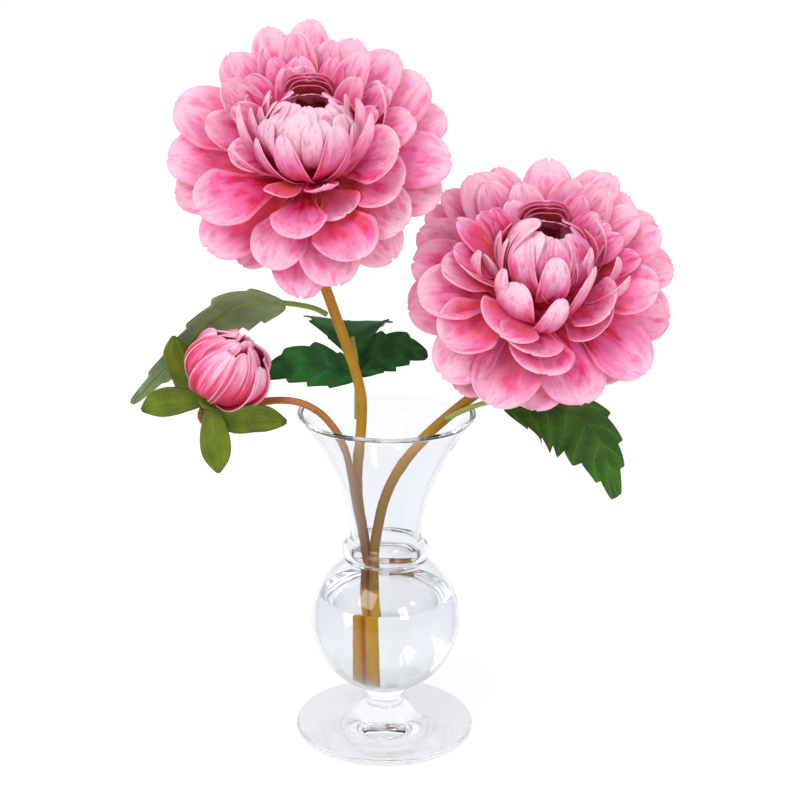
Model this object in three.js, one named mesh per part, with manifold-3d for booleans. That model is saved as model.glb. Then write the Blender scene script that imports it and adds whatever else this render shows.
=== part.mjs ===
// Two open dahlias and one dahlia bud in a footed bud vase of clear glass with water.
// Millimetres, +Z up. The origin is the centre of the foot's flat underside. The flowers face -Y.
import * as THREE from "three";
import { mergeVertices } from "three/addons/utils/BufferGeometryUtils.js";
import Module from "manifold-3d";

const wasm = await Module();
wasm.setup();

// Vase
const FOOT_RADIUS = 41.3;
const VASE_HEIGHT = 154.8;
const RIM_RADIUS = 40;
const NECK_RADIUS = 16.2;
const NECK_HEIGHT = 96;
const FLARE_POWER = 1.78;
const BULB_RADIUS = 34.4;
const BULB_HEIGHT = 54.5;
const RING_RADIUS = 15.4;
const RING_HEIGHT = 88.2;
const RING_THICKNESS = 4.8;
const WALL = 1.6;
const WATER_LEVEL = 67;
const ROUND_SIDES = 24;
const BULB_INSIDE = [BULB_RADIUS - WALL, 0, BULB_HEIGHT];

// Fits
const GAP = 0.35;
const BLADE = 0.9;

// Stems, with the points of each route chosen by hand, from the cut end up
const STEM_SIDES = 8;
const STEM_RADIUS = 2.4;
const BUD_STEM_RADIUS = 1.65;
const TALL_ROUTE = [
  [-5.2, 3.4, 23.4], [-6.9, 3.6, 66], [-8.4, 3.2, 82], [-10.6, 2.4, 97], [-13, 2.3, 113], [-13, 2.5, 130],
  [-11.6, 3, 145], [-11.4, 3.5, 159], [-14.4, 4, 172.5], [-19, 4.5, 186], [-25.5, 5.8, 204],
  [-30.8, 8.5, 219], [-32.4, 13, 232], [-32.6, 16, 243], [-32.6, 15.6, 250], [-32.5, 12.2, 253.2],
  [-32.6, 7.9, 255.7],
];
const RIGHT_ROUTE = [
  [-3.4, -2.4, 23], [-5.2, -2.2, 66], [-5.2, -1, 88], [-3.4, 0.5, 101], [-0.4, 1, 114], [5.8, 2, 127.5],
  [15.4, 2.6, 140], [27.4, 3.5, 151.5], [41, 5.5, 163], [53, 10, 175], [61, 15, 187], [64.6, 17.3, 195],
  [65.4, 14.1, 200.2], [65.9, 9.8, 202.7],
];
const BUD_ROUTE = [
  [-8.2, -0.9, 23.8], [-10.1, -0.5, 66], [-9.4, -2.4, 82], [-10.6, -3.4, 97], [-13.6, -3.6, 112],
  [-15.8, -3.6, 126], [-18.4, -3.6, 138], [-23.2, -3, 147], [-30.6, -2, 154.8], [-41, 0, 158.8],
  [-55.9, 2, 157.8], [-66.9, 4, 153.2], [-73, 2.6, 148.9], [-79, 0.4, 147.2], [-82.6, -0.9, 150.2],
  [-82.8, -1, 153.4], [-81.1, -1.3, 156.1],
];

// Blooms: the receptacle's place and how far the axis leans to the right. The head rises steeply from a point
// a little in front of the receptacle and below it. Each layer outside the head is tipped further forward, so
// that the back petals stand and the front ones hang.
const TALL_PLACE = [-33, -4, 262.6];
const TALL_TURN = -2;
const RIGHT_PLACE = [67.1, -2, 209.6];
const RIGHT_TURN = 6;
const HEAD_RISE = 73;
const HEAD_FORWARD = 4;
const HEAD_LOWER = 1;
const FRONT_RISE = 36;
const BACK_RISE = 30;

// The silk head is a ball of close petals round an opening at its top. Inside them is the heart, and behind
// the open layers the seat, which fills the receptacle down to the calyx. Both are outlines of radius and
// height.
const HEAD_RADIUS = 19;
const HEAD_HEIGHT = 18;
const CORE_RADIUS = 12.8;
const CALYX_TOP = 7;
const CALYX_DEPTH = 6;
const HEART_FOOT = [[0, -2], [8, -1], [13.5, 8]];
const HEART_TOP = [0, 31];
const SEAT = [[0, -CALYX_TOP], [9, -CALYX_TOP], [13, -3], [14, 1], [12, 5], [0, 8]];

// How the open petals leave the receptacle: the radius and height of their root, how they bow outwards, and
// how much lower their root and how much straighter they are at the back
const BACK_SHAPE = { rootRadius: 9, rootHeight: -2, lower: 2.5, bow: 13.5, straighter: 22, cup: 0.12 };
const FRONT_SHAPE = { rootRadius: 10, rootHeight: 1.5, lower: 5, bow: 8.5, straighter: 18, cup: 0.18 };

// Open petals, one each: azimuth round the layer's axis with 90 at the back, reach from the receptacle,
// width, and lift above the layer's plane
const TALL_BACK = [
  [3, 60, 26, 8], [25, 63, 24, -4], [40, 63, 28, 2], [55, 62, 28, 8], [76, 64, 26, -1], [95, 66, 27, 8],
  [109, 69, 26, 1], [125, 69, 28, -5], [153, 64, 30, 8], [173, 61, 26, 1], [188, 58, 26, -5],
  [222, 56, 28, 3], [238, 50, 22, -3], [254, 49, 24, 8], [262, 56, 25, -1], [285, 54, 27, 5],
  [309, 53, 26, -1], [327, 49, 27, 7], [348, 56, 26, 0],
];
const RIGHT_BACK = [
  [19, 60, 26, 2], [41, 66, 22, -5], [49, 59, 26, 6], [69, 65, 24, -2], [88, 60, 32, 8], [104, 61, 26, -1],
  [120, 60, 32, 8], [143, 63, 24, -4], [155, 60, 26, 3], [174, 59, 28, 8], [192, 59, 30, 0],
  [218, 61, 28, 8], [231, 58, 26, 0], [248, 58, 30, 7], [264, 52, 28, -1], [284, 53, 30, 7],
  [312, 50, 26, 0], [323, 56, 28, 6], [349, 57, 28, -1],
];
const TALL_FRONT = [
  [51, 48, 20, 16], [66, 54, 20, 24], [83, 57, 24, 16], [99, 59, 26, 22], [119, 58, 24, 15],
  [139, 52, 22, 22], [157, 49, 24, 15], [178, 38, 20, 28], [209, 54, 30, 14], [265, 42, 24, 18],
  [291, 52, 28, 10], [296, 37, 22, 28], [337, 44, 28, 14], [354, 44, 30, 24],
];
const RIGHT_FRONT = [
  [24, 58, 28, 14], [58, 54, 26, 22], [79, 53, 26, 16], [102, 48, 22, 24], [124, 54, 24, 16],
  [176, 51, 22, 22], [191, 60, 28, 14], [212, 59, 28, 16], [228, 44, 32, 30], [251, 44, 30, 24],
  [262, 46, 30, 16], [318, 35, 26, 18], [328, 36, 28, 28], [353, 50, 26, 16],
];

// Narrow upright petals beside and behind the head and two short tongues in front of it, then the petals that
// close it, in two full turns
const COLLAR = [
  [-28, 37, 13, 42], [0, 39, 12, 46], [28, 40, 14, 42], [66, 40, 16, 44], [104, 40, 16, 44],
  [146, 40, 14, 42], [176, 39, 12, 46], [206, 37, 13, 42], [240, 33, 14, 8], [286, 31, 14, 14],
];
const COLLAR_SHAPE = { bow: -26, cup: 0.1, rows: 3 };
const COLLAR_ROOT = 9;
const COLLAR_ROOT_HEIGHT = 5;
const TONGUE_ROOT_HEIGHT = 1;
const UPRIGHT_FROM = 30;
const WRAPS = [
  { count: 7, from: 40, to: 122, radius: HEAD_RADIUS, width: 15.5, sunk: 7, rows: 3 },
  { count: 6, from: 66, to: 154, radius: HEAD_RADIUS - 2.6, width: 14.5, sunk: 5, rows: 3 },
];

// The cup under a bloom has bracts like small petals: how many, the first one's azimuth, and where one starts
// and ends, below the cup's top
const CALYX_BRACTS = 5;
const CALYX_FIRST = 18;
const CALYX_BRACT = { root: [6, 2], tip: [22, 3.4], bow: 8, width: 9, cup: -0.15, rows: 2 };

// Bud: a ball of long strips over a ball-shaped core, and the green bracts turned back under it, each by the
// points of its middle line
const BUD_RADIUS = 16.9;
const BUD_PLACE = [-70.3, -6, 174.8];
const BUD_AXIS = [0.49, -0.21, 0.846];
const BUD_CORE = 15.2;
const BUD_STRIPS = { count: 11, from: 20, to: 164 };
const STRIP_SHAPE = { width: 12.6, cup: -0.16, tilt: 0.85, swirl: 24, rows: 4 };
const BRACT_WIDTH = 13.5;
const BRACTS = [
  { rib: [[-78.4, -4, 158.4], [-76.6, -9, 151], [-75.5, -11, 141], [-74.4, -12, 129]], side: [1, 0, 0] },
  { rib: [[-80.8, -3, 159.4], [-90, -6.5, 160.6], [-99, -8.5, 160], [-108, -9, 156.8]], side: [0, 0, 1] },
  { rib: [[-81.2, -1, 160], [-88, 6, 164.5], [-93, 7, 175], [-94.8, 3, 187.4]], side: [1, 0, 0.3] },
  { rib: [[-77.5, -3.4, 158], [-69.5, -6, 151.4], [-58, -7, 153.2], [-44.3, -7, 151.5]], side: [0, -0.1, 1] },
  { rib: [[-79.6, 0, 158.7], [-78.6, 9.5, 159.5], [-74, 16, 163], [-69, 19.5, 169]], side: [1, 0, 0] },
  { rib: [[-81.3, -0.6, 159.6], [-88, 6, 160.6], [-93, 10.5, 163.5], [-97, 13, 168]], side: [0.4, -0.6, 1] },
];

// Leaves: middle line from stalk to tip, the directions in which its two halves spread, how wide each
// half is, how many teeth, and how far along the blade is widest (a low swell is near the stalk)
const STALK_RADIUS = 1.2;
const ARCHING_LEAF = {
  rib: [
    [-46, 10.8, 201.2], [-61.7, 15, 200], [-70.5, 17, 196.6], [-77.9, 18, 191.2], [-91.9, 19, 177.7],
    [-104.4, 18, 165.1], [-116.9, 16, 152.3],
  ],
  sides: [[0, -0.64, 0.77], [-0.1, 0.57, -0.82]],
  half: [12.5, 18.5],
  teeth: 6,
  swell: 0.72,
};
const ARCHING_STALK = [[-26.9, 5.2, 197.6], [-31.8, 7, 199.6], [-39, 9, 200.8], [-50.3, 12, 201.3]];
const LEAFLETS = [
  {
    rib: [[-13.8, 8.4, 168], [-23.6, 11, 170.4], [-35, 14, 172.2], [-46.5, 17, 170.3], [-57.3, 20, 164.6]],
    sides: [[-0.13, 0.49, 0.87], [-0.1, -0.31, -0.94]],
    half: [10.5, 10.5],
    teeth: 4,
    swell: 0.8,
  },
  {
    rib: [[-13.2, 8.8, 169], [-5.7, 13, 176.1], [1.9, 17, 178.3], [9.2, 21, 177.8], [18.4, 25, 173.5]],
    sides: [[0.1, 0.55, 0.82], [0.3, -0.35, -0.85]],
    half: [10, 10],
    teeth: 4,
    swell: 0.8,
  },
  {
    rib: [
      [-14.3, 11, 177], [-16, 17, 184], [-17.9, 28, 188.3], [-18.8, 42, 183.8], [-19.6, 54, 176.2],
    ],
    sides: [[-1, -0.05, 0.13], [1, -0.05, 0.02]],
    half: [21, 21],
    teeth: 5,
    swell: 1.1,
  },
];
const COMPOUND_STALK = [
  [-13.6, 6.4, 149], [-13.6, 6.8, 157.6], [-13.7, 7.9, 166], [-14.2, 10.6, 175.5], [-16, 17, 184],
];
const RIGHT_LEAF = {
  rib: [
    [51.5, -2, 160.6], [70.2, -2, 160.4], [82.7, -4, 155.6], [90.2, -7, 149.2], [96.9, -11, 137.5],
    [102.8, -13, 119.9],
  ],
  sides: [[0.78, 0.62, 0.05], [-0.1, -0.5, -0.86]],
  half: [17.5, 21],
  teeth: 7,
  swell: 0.8,
};
const RIGHT_STALK = [[26.2, -0.3, 151.4], [35.3, -0.8, 156.2], [45.8, -1.6, 160], [60, -2, 160.9]];

// A closed solid from vertices and faces that may face either way.
function solidFrom(vertices, faces) {
  const kept = [];
  for (let i = 0; i < faces.length; i += 3) {
    const [a, b, c] = [faces[i], faces[i + 1], faces[i + 2]];
    if (a !== b && b !== c && c !== a) kept.push(a, b, c);
  }
  let volume = 0;
  const corner = (i) => new THREE.Vector3().fromArray(vertices, 3 * i);
  for (let i = 0; i < kept.length; i += 3) {
    volume += corner(kept[i]).dot(corner(kept[i + 1]).cross(corner(kept[i + 2])));
  }
  if (volume < 0) kept.reverse();
  const vertProperties = new Float32Array(vertices);
  return new wasm.Manifold(new wasm.Mesh({ numProp: 3, vertProperties, triVerts: new Uint32Array(kept) }));
}

// A three.js geometry as a closed solid.
function solidOf(geometry) {
  const bare = geometry.clone();
  for (const name of Object.keys(bare.attributes)) {
    if (name !== "position") bare.deleteAttribute(name);
  }
  const merged = mergeVertices(bare, 1e-4);
  return solidFrom(merged.attributes.position.array, merged.index.array);
}

// Joined pieces as one body: a hollow that the joining sealed is filled, and a loose scrap is dropped.
function joined(pieces) {
  const bodies = wasm.Manifold.union(pieces).decompose();
  return bodies.reduce((largest, body) => (body.volume() > largest.volume() ? body : largest));
}

function meshOf(name, solid, look) {
  const made = solid.getMesh();
  const geometry = new THREE.BufferGeometry();
  geometry.setAttribute("position", new THREE.BufferAttribute(made.vertProperties, 3));
  geometry.setIndex(new THREE.BufferAttribute(made.triVerts, 1));
  geometry.computeVertexNormals();
  const mesh = new THREE.Mesh(geometry, new THREE.MeshStandardMaterial(look));
  mesh.name = name;
  return mesh;
}

// A solid turned about +Z from an outline of radius and height pairs.
function turned(outline, sides) {
  const points = outline.map(([r, z]) => new THREE.Vector2(r, z));
  return new THREE.LatheGeometry(points, sides).rotateX(Math.PI / 2);
}

// Points of an arc about a centre in the plane of radius and height, angles in degrees from outwards.
function arc(radius, centreR, centreZ, from, to, steps) {
  return Array.from({ length: steps + 1 }, (_, i) => {
    const angle = THREE.MathUtils.degToRad(from + ((to - from) * i) / steps);
    return [centreR + radius * Math.cos(angle), centreZ + radius * Math.sin(angle)];
  });
}

// A round tube along a route. The section keeps its flats, so a thicker tube on the same route clears it
// evenly.
function tube(route, radius, steps, sides = STEM_SIDES) {
  const curve = new THREE.CatmullRomCurve3(route.map((p) => new THREE.Vector3(...p)), false, "centripetal");
  const section = new THREE.Shape(
    Array.from({ length: sides }, (_, i) => {
      const angle = (2 * Math.PI * i) / sides;
      return new THREE.Vector2(radius * Math.cos(angle), radius * Math.sin(angle));
    }),
  );
  return new THREE.ExtrudeGeometry(section, { steps, extrudePath: curve, curveSegments: 1 });
}

// A thin closed blade: a flat sheet whose vertices are placed by a formula, doubled and walled round its
// edge. Both faces are split the same way, so a waved blade never crosses itself.
function blade(columns, rows, place) {
  const sheet = new THREE.PlaneGeometry(2, 1, columns, rows);
  const at = sheet.attributes.position;
  const vertices = [];
  for (const lift of [BLADE / 2, -BLADE / 2]) {
    for (let i = 0; i < at.count; i++) {
      vertices.push(...place(0.5 - at.getY(i), at.getX(i), lift).toArray());
    }
  }
  const faces = [];
  const index = sheet.index.array;
  for (let i = 0; i < index.length; i += 3) {
    faces.push(index[i], index[i + 1], index[i + 2]);
    faces.push(index[i] + at.count, index[i + 2] + at.count, index[i + 1] + at.count);
  }
  const row = columns + 1;
  const edge = [];
  for (let i = 0; i < columns; i++) edge.push(i);
  for (let j = 0; j < rows; j++) edge.push(j * row + columns);
  for (let i = columns; i > 0; i--) edge.push(rows * row + i);
  for (let j = rows; j > 0; j--) edge.push(j * row);
  edge.forEach((a, i) => {
    const b = edge[(i + 1) % edge.length];
    faces.push(a, b, b + at.count, a, b + at.count, a + at.count);
  });
  return solidFrom(vertices, faces);
}

// The frame of a flower or of one of its layers: its receptacle, its axis, and its right and its back.
function frameAlong(place, axis) {
  const up = new THREE.Vector3(...axis).normalize();
  const right = new THREE.Vector3(1, 0, 0).addScaledVector(up, -up.x).normalize();
  const back = new THREE.Vector3().crossVectors(up, right);
  return { place: new THREE.Vector3(...place), up, right, back };
}

function flowerFrame(place, rise, turn) {
  const high = THREE.MathUtils.degToRad(rise);
  const aside = THREE.MathUtils.degToRad(turn);
  const flat = Math.cos(high);
  return frameAlong(place, [flat * Math.sin(aside), -flat * Math.cos(aside), Math.sin(high)]);
}

function inFrame(frame, geometry) {
  const matrix = new THREE.Matrix4().makeBasis(frame.right, frame.back, frame.up).setPosition(frame.place);
  return solidOf(geometry.clone().applyMatrix4(matrix));
}

// How wide a petal is along its length: a narrow claw, the full width at two thirds, and a round tip.
function petalOutline(along) {
  const clawWidth = 0.12;
  const claw = clawWidth + (1 - clawWidth) * Math.min(1, along / 0.66) ** 1.5;
  const past = Math.max(0, (along - 0.62) / 0.4);
  return claw * Math.sqrt(1 - past * past);
}

// A petal whose middle line is an arc from root to tip, in the plane of the axis and its azimuth. A positive
// bow curls it outwards, a negative one closes it over the head. The cup raises both its edges, the tilt one
// of them, and the swirl turns it round the axis on its way up.
function petal(frame, shape) {
  const { azimuth, root, tip, bow, width, cup } = shape;
  const { rows = 4, tilt = 0, swirl = 0, outline = petalOutline } = shape;
  const turn = THREE.MathUtils.degToRad(bow);
  const slope = Math.atan2(tip[1] - root[1], tip[0] - root[0]);
  const size = Math.hypot(tip[0] - root[0], tip[1] - root[1]) / (2 * Math.sin(turn));
  return blade(2, rows, (along, across, lift) => {
    const tangent = slope + turn * (1 - 2 * along);
    const half = (width / 2) * outline(along);
    const rise = cup * half * across * across + tilt * across + lift;
    const r = root[0] + size * (Math.sin(slope + turn) - Math.sin(tangent)) - Math.sin(tangent) * rise;
    const h = root[1] + size * (Math.cos(tangent) - Math.cos(slope + turn)) + Math.cos(tangent) * rise;
    const angle = THREE.MathUtils.degToRad(azimuth + swirl * along);
    const out = frame.right
      .clone()
      .multiplyScalar(Math.cos(angle))
      .addScaledVector(frame.back, Math.sin(angle));
    const aside = new THREE.Vector3().crossVectors(frame.up, out);
    return frame.place
      .clone()
      .addScaledVector(out, r)
      .addScaledVector(frame.up, h)
      .addScaledVector(aside, half * across);
  });
}

// Root, tip and bow of a petal that bulges to a ball, between two polar angles from the ball's underside. Its
// root and its tip may be sunk so far below the ball.
function overBall(radius, centre, from, to, rootSunk, tipSunk) {
  const onBall = (angle, r) => {
    const polar = THREE.MathUtils.degToRad(angle);
    return [r * Math.sin(polar), centre - r * Math.cos(polar)];
  };
  const root = onBall(from, radius - rootSunk);
  const tip = onBall(to, radius - tipSunk);
  const crest = onBall((from + to) / 2, radius);
  const bulge = Math.hypot(crest[0] - (root[0] + tip[0]) / 2, crest[1] - (root[1] + tip[1]) / 2);
  const chord = Math.hypot(tip[0] - root[0], tip[1] - root[1]);
  return { root, tip, bow: -2 * THREE.MathUtils.radToDeg(Math.atan((2 * bulge) / chord)) };
}

// The tip of a petal that reaches so far from the receptacle at so many degrees above its layer's plane.
function tipAt(reach, lift) {
  const slope = THREE.MathUtils.degToRad(lift);
  return [reach * Math.cos(slope), reach * Math.sin(slope)];
}

// One open petal: how it stands comes from its layer and from how far behind the flower it is.
function openPetal(frame, shape, [azimuth, reach, width, lift], raised) {
  const behind = Math.max(0, Math.sin(THREE.MathUtils.degToRad(azimuth)));
  const root = [shape.rootRadius, raised + shape.rootHeight - shape.lower * behind];
  const bow = shape.bow - shape.straighter * behind;
  return petal(frame, { azimuth, root, tip: tipAt(reach, lift), bow, width, cup: shape.cup });
}

// One bloom: a core, two open layers set petal by petal, a collar, and the closed head.
function bloom(place, turn, backPetals, frontPetals, phase) {
  const head = flowerFrame([place[0], place[1] - HEAD_FORWARD, place[2] - HEAD_LOWER], HEAD_RISE, turn);
  const front = flowerFrame(place, FRONT_RISE, turn);
  const back = flowerFrame(place, BACK_RISE, turn);
  const heart = [...HEART_FOOT, ...arc(CORE_RADIUS, 0, HEAD_HEIGHT, -20, 65, 3), HEART_TOP];
  const pieces = [inFrame(head, turned(heart, 10)), inFrame(back, turned(SEAT, 12))];
  for (const row of backPetals) pieces.push(openPetal(back, BACK_SHAPE, row, row[3] / 4));
  for (const row of frontPetals) pieces.push(openPetal(front, FRONT_SHAPE, row, 0));
  for (const [azimuth, reach, width, lift] of COLLAR) {
    const root = [COLLAR_ROOT, lift > UPRIGHT_FROM ? COLLAR_ROOT_HEIGHT : TONGUE_ROOT_HEIGHT];
    pieces.push(petal(head, { ...COLLAR_SHAPE, azimuth, root, tip: tipAt(reach, lift), width }));
  }
  WRAPS.forEach(({ count, from, to, radius, width, sunk, rows }, layer) => {
    const span = overBall(radius, HEAD_HEIGHT, from, to, sunk, 0);
    for (let i = 0; i < count; i++) {
      const azimuth = phase + (360 * (i + layer / 2)) / count;
      pieces.push(petal(head, { azimuth, ...span, width, cup: -0.05, rows }));
    }
  });
  return joined(pieces);
}

// The cup of green bracts under a bloom, behind its back layer.
function calyx(place, turn) {
  const frame = flowerFrame(place, BACK_RISE, turn);
  const top = -CALYX_TOP - GAP;
  const bottom = top - CALYX_DEPTH;
  const cup = [[0, top], [9.5, top], [8, top - 3], [3.6, bottom], [0, bottom]];
  const pieces = [inFrame(frame, turned(cup, 8))];
  const [rootRadius, rootBelow] = CALYX_BRACT.root;
  const [tipRadius, tipBelow] = CALYX_BRACT.tip;
  for (let i = 0; i < CALYX_BRACTS; i++) {
    const azimuth = CALYX_FIRST + (360 * i) / CALYX_BRACTS;
    const ends = { root: [rootRadius, top - rootBelow], tip: [tipRadius, top - tipBelow] };
    pieces.push(petal(frame, { ...CALYX_BRACT, azimuth, ...ends }));
  }
  return joined(pieces);
}

// The closed bud: long strips over a ball, each with one edge over the next strip, turned a little round the
// axis on their way up. Their ends are sunk in the ball.
function bud() {
  const frame = frameAlong(BUD_PLACE, BUD_AXIS);
  const pieces = [inFrame(frame, new THREE.SphereGeometry(BUD_CORE, 10, 7).rotateX(Math.PI / 2))];
  const { count, from, to } = BUD_STRIPS;
  const sunk = BUD_RADIUS - BUD_CORE + 1;
  const span = overBall(BUD_RADIUS, 0, from, to, sunk, sunk);
  const outline = (along) => Math.sin(THREE.MathUtils.degToRad(from + (to - from) * along)) ** 0.8;
  for (let i = 0; i < count; i++) {
    pieces.push(petal(frame, { azimuth: (360 * i) / count, ...span, ...STRIP_SHAPE, outline }));
  }
  return joined(pieces);
}

// Half the width of a bract along its length, and of a leaf, as shares of its greatest.
function bractOutline(along) {
  return 0.3 + 0.7 * Math.sin(Math.PI * along ** 1.25) ** 0.8 + 0.06 * along ** 4;
}

function leafOutline(along, swell) {
  return Math.sin(Math.PI * (0.04 + 0.94 * along ** swell)) ** 0.85;
}

// A leaf blade along its rib. Each half spreads in its own direction, square to the rib. Two rows to a tooth:
// the tooth's point, then the notch behind it.
function leaf({ rib, sides, half, teeth, swell, rows = 2 * teeth, outline = leafOutline }) {
  const curve = new THREE.CatmullRomCurve3(rib.map((p) => new THREE.Vector3(...p)), false, "centripetal");
  const spread = sides.map((side) => new THREE.Vector3(...side));
  return blade(2, rows, (step, across, lift) => {
    const row = Math.round(step * rows);
    const point = teeth > 0 && row % 2 === 1;
    const along = teeth > 0 ? Math.min(1, (Math.floor(row / 2) + (point ? 0.78 : 0)) / teeth) : step;
    const tangent = curve.getTangentAt(along);
    const [near, far] = spread.map((side) => {
      return side.clone().addScaledVector(tangent, -side.dot(tangent)).normalize();
    });
    const face = new THREE.Vector3().crossVectors(tangent, far.clone().sub(near)).normalize();
    const width = half[across < 0 ? 0 : 1] * outline(along, swell) * (point || !teeth ? 1 : 0.8);
    return curve
      .getPointAt(along)
      .addScaledVector(across < 0 ? near : far, width * Math.abs(across))
      .addScaledVector(tangent, point ? 0.12 * half[0] * Math.abs(across) : 0)
      .addScaledVector(face, lift);
  });
}

function stalk(route, steps) {
  return solidOf(tube(route, STALK_RADIUS, steps, 6));
}

function budBracts() {
  const frame = frameAlong(BUD_PLACE, BUD_AXIS);
  const top = -BUD_RADIUS - 1;
  const cup = [[0, top], [5.5, top], [5, top - 1.6], [2.6, top - 3.7], [0, top - 3.7]];
  const pieces = [inFrame(frame, turned(cup, 8))];
  const spoon = { half: [BRACT_WIDTH / 2, BRACT_WIDTH / 2], teeth: 0, rows: 4, outline: bractOutline };
  for (const { rib, side } of BRACTS) {
    pieces.push(leaf({ rib, sides: [side.map((value) => -value), side], ...spoon }));
  }
  return joined(pieces);
}

// The flared neck's outer radius at a height.
function neckRadius(height) {
  const share = (height - NECK_HEIGHT) / (VASE_HEIGHT - NECK_HEIGHT);
  return NECK_RADIUS + (RIM_RADIUS - NECK_RADIUS) * share ** FLARE_POWER;
}

function neckOutline(inset, steps) {
  return Array.from({ length: steps + 1 }, (_, i) => {
    const height = NECK_HEIGHT + ((VASE_HEIGHT - NECK_HEIGHT - 0.6) * i) / steps;
    return [neckRadius(height) - inset * (1 + 0.3 * (i / steps)), height];
  });
}

// How far up the inside of the ball the water reaches, as an angle from the ball's centre.
function waterAngle() {
  return THREE.MathUtils.radToDeg(Math.asin((WATER_LEVEL - BULB_HEIGHT) / (BULB_RADIUS - WALL - GAP)));
}

// The blown vase: disc foot, knop, ball, ring and flared neck outside, then down the inside to the ball's
// bottom.
function vase() {
  const outside = [
    [0, 0], [FOOT_RADIUS - 0.6, 0], [FOOT_RADIUS, 1.1], [FOOT_RADIUS - 0.6, 2.3], [27, 4.4], [16.5, 7.3],
    [8.7, 13], [10.6, 19.6], ...arc(BULB_RADIUS, 0, BULB_HEIGHT, -69, 58, 7),
    ...arc(RING_THICKNESS, RING_RADIUS, RING_HEIGHT, -48, 66, 3), ...neckOutline(0, 5),
  ];
  const top = waterAngle();
  const inside = [
    [RIM_RADIUS - 1, VASE_HEIGHT], ...neckOutline(WALL, 4).reverse(),
    ...arc(RING_THICKNESS - WALL, RING_RADIUS - WALL / 2, RING_HEIGHT, 50, -50, 2),
    ...arc(...BULB_INSIDE, 55, top, 2), ...arc(...BULB_INSIDE, top, -90, 6).slice(1),
  ];
  inside[inside.length - 1][0] = 0;
  return turned([...outside, ...inside], ROUND_SIDES);
}

// The water fills the ball up to its level, with a plain hole for each stem.
function water(routes) {
  const outline = [...arc(BULB_RADIUS - WALL - GAP, 0, BULB_HEIGHT, -90, waterAngle(), 6), [0, WATER_LEVEL]];
  outline[0][0] = 0;
  let body = solidOf(turned(outline, ROUND_SIDES));
  for (const [route, bore] of routes) {
    const [x, y, z] = route[0];
    const through = [[x, y, z - 6], ...route.slice(0, 3)];
    body = body.subtract(solidOf(tube(through, (bore + GAP) / Math.cos(Math.PI / STEM_SIDES), 5)));
  }
  return joined([body]);
}

const glass = { color: 0xdfe3ee, roughness: 0.05, metalness: 0, transparent: true, opacity: 0.3 };
const clear = { color: 0xeaf0f4, roughness: 0.02, metalness: 0, transparent: true, opacity: 0.4 };
const ochre = { color: 0xb57f17, roughness: 0.55, metalness: 0 };
const rust = { color: 0xa8642c, roughness: 0.55, metalness: 0 };
const silk = { color: 0xe58cb2, roughness: 0.75, metalness: 0 };
const budSilk = { color: 0xd65a88, roughness: 0.75, metalness: 0 };
const bractGreen = { color: 0x6e8212, roughness: 0.7, metalness: 0 };
const paleGreen = { color: 0x95a578, roughness: 0.7, metalness: 0 };
const darkGreen = { color: 0x1f5a33, roughness: 0.55, metalness: 0 };
const leafGreen = { color: 0x2f6a1c, roughness: 0.5, metalness: 0 };

const stems = [[TALL_ROUTE, STEM_RADIUS], [RIGHT_ROUTE, STEM_RADIUS], [BUD_ROUTE, BUD_STEM_RADIUS]];

const root = new THREE.Group();
root.add(meshOf("vase", solidOf(vase()), glass));
root.add(meshOf("water", water(stems), clear));
root.add(meshOf("stem_tall", solidOf(tube(TALL_ROUTE, STEM_RADIUS, 16)), ochre));
root.add(meshOf("stem_right", solidOf(tube(RIGHT_ROUTE, STEM_RADIUS, 15)), ochre));
root.add(meshOf("stem_bud", solidOf(tube(BUD_ROUTE, BUD_STEM_RADIUS, 22, 6)), rust));
root.add(meshOf("bloom_tall", bloom(TALL_PLACE, TALL_TURN, TALL_BACK, TALL_FRONT, 250), silk));
root.add(meshOf("bloom_right", bloom(RIGHT_PLACE, RIGHT_TURN, RIGHT_BACK, RIGHT_FRONT, 240), silk));
root.add(meshOf("calyx_tall", calyx(TALL_PLACE, TALL_TURN), bractGreen));
root.add(meshOf("calyx_right", calyx(RIGHT_PLACE, RIGHT_TURN), bractGreen));
root.add(meshOf("bud", bud(), budSilk));
root.add(meshOf("bud_bracts", budBracts(), bractGreen));
root.add(meshOf("leaf_arching", joined([leaf(ARCHING_LEAF), stalk(ARCHING_STALK, 5)]), paleGreen));
root.add(meshOf("leaf_compound", joined([...LEAFLETS.map(leaf), stalk(COMPOUND_STALK, 4)]), darkGreen));
root.add(meshOf("leaf_right", joined([leaf(RIGHT_LEAF), stalk(RIGHT_STALK, 6)]), leafGreen));

export default root;
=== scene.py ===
import math
import random
from bisect import bisect_right

import bmesh
import bpy
from mathutils import Matrix, Vector


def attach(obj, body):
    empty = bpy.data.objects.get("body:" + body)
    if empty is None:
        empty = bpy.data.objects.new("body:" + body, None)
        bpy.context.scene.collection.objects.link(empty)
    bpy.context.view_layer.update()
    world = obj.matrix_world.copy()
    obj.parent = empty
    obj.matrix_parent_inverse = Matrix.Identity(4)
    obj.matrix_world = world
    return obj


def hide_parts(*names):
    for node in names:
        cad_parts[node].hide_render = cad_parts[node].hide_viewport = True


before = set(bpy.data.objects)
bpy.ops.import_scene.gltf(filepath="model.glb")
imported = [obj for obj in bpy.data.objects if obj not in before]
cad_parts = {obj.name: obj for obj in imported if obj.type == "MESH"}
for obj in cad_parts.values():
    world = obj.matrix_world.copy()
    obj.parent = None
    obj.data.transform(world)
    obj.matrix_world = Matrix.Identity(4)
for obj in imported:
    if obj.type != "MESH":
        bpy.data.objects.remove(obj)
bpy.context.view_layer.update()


# The vase is one piece of clear soda glass, blown by hand: a disc foot, a solid knop, a thin ball, a ring
# and a flared neck. The rim and the foot's edge are fire polished, so they are round, and the walls wave.
MM = 0.001
BALL_MIDDLE, BALL_OUTSIDE, BALL_INSIDE = 54.5, 34.4, 32.9
NECK_FOOT, NECK_HEIGHT, NECK_WALL = 96, 58.2, 1.7
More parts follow.
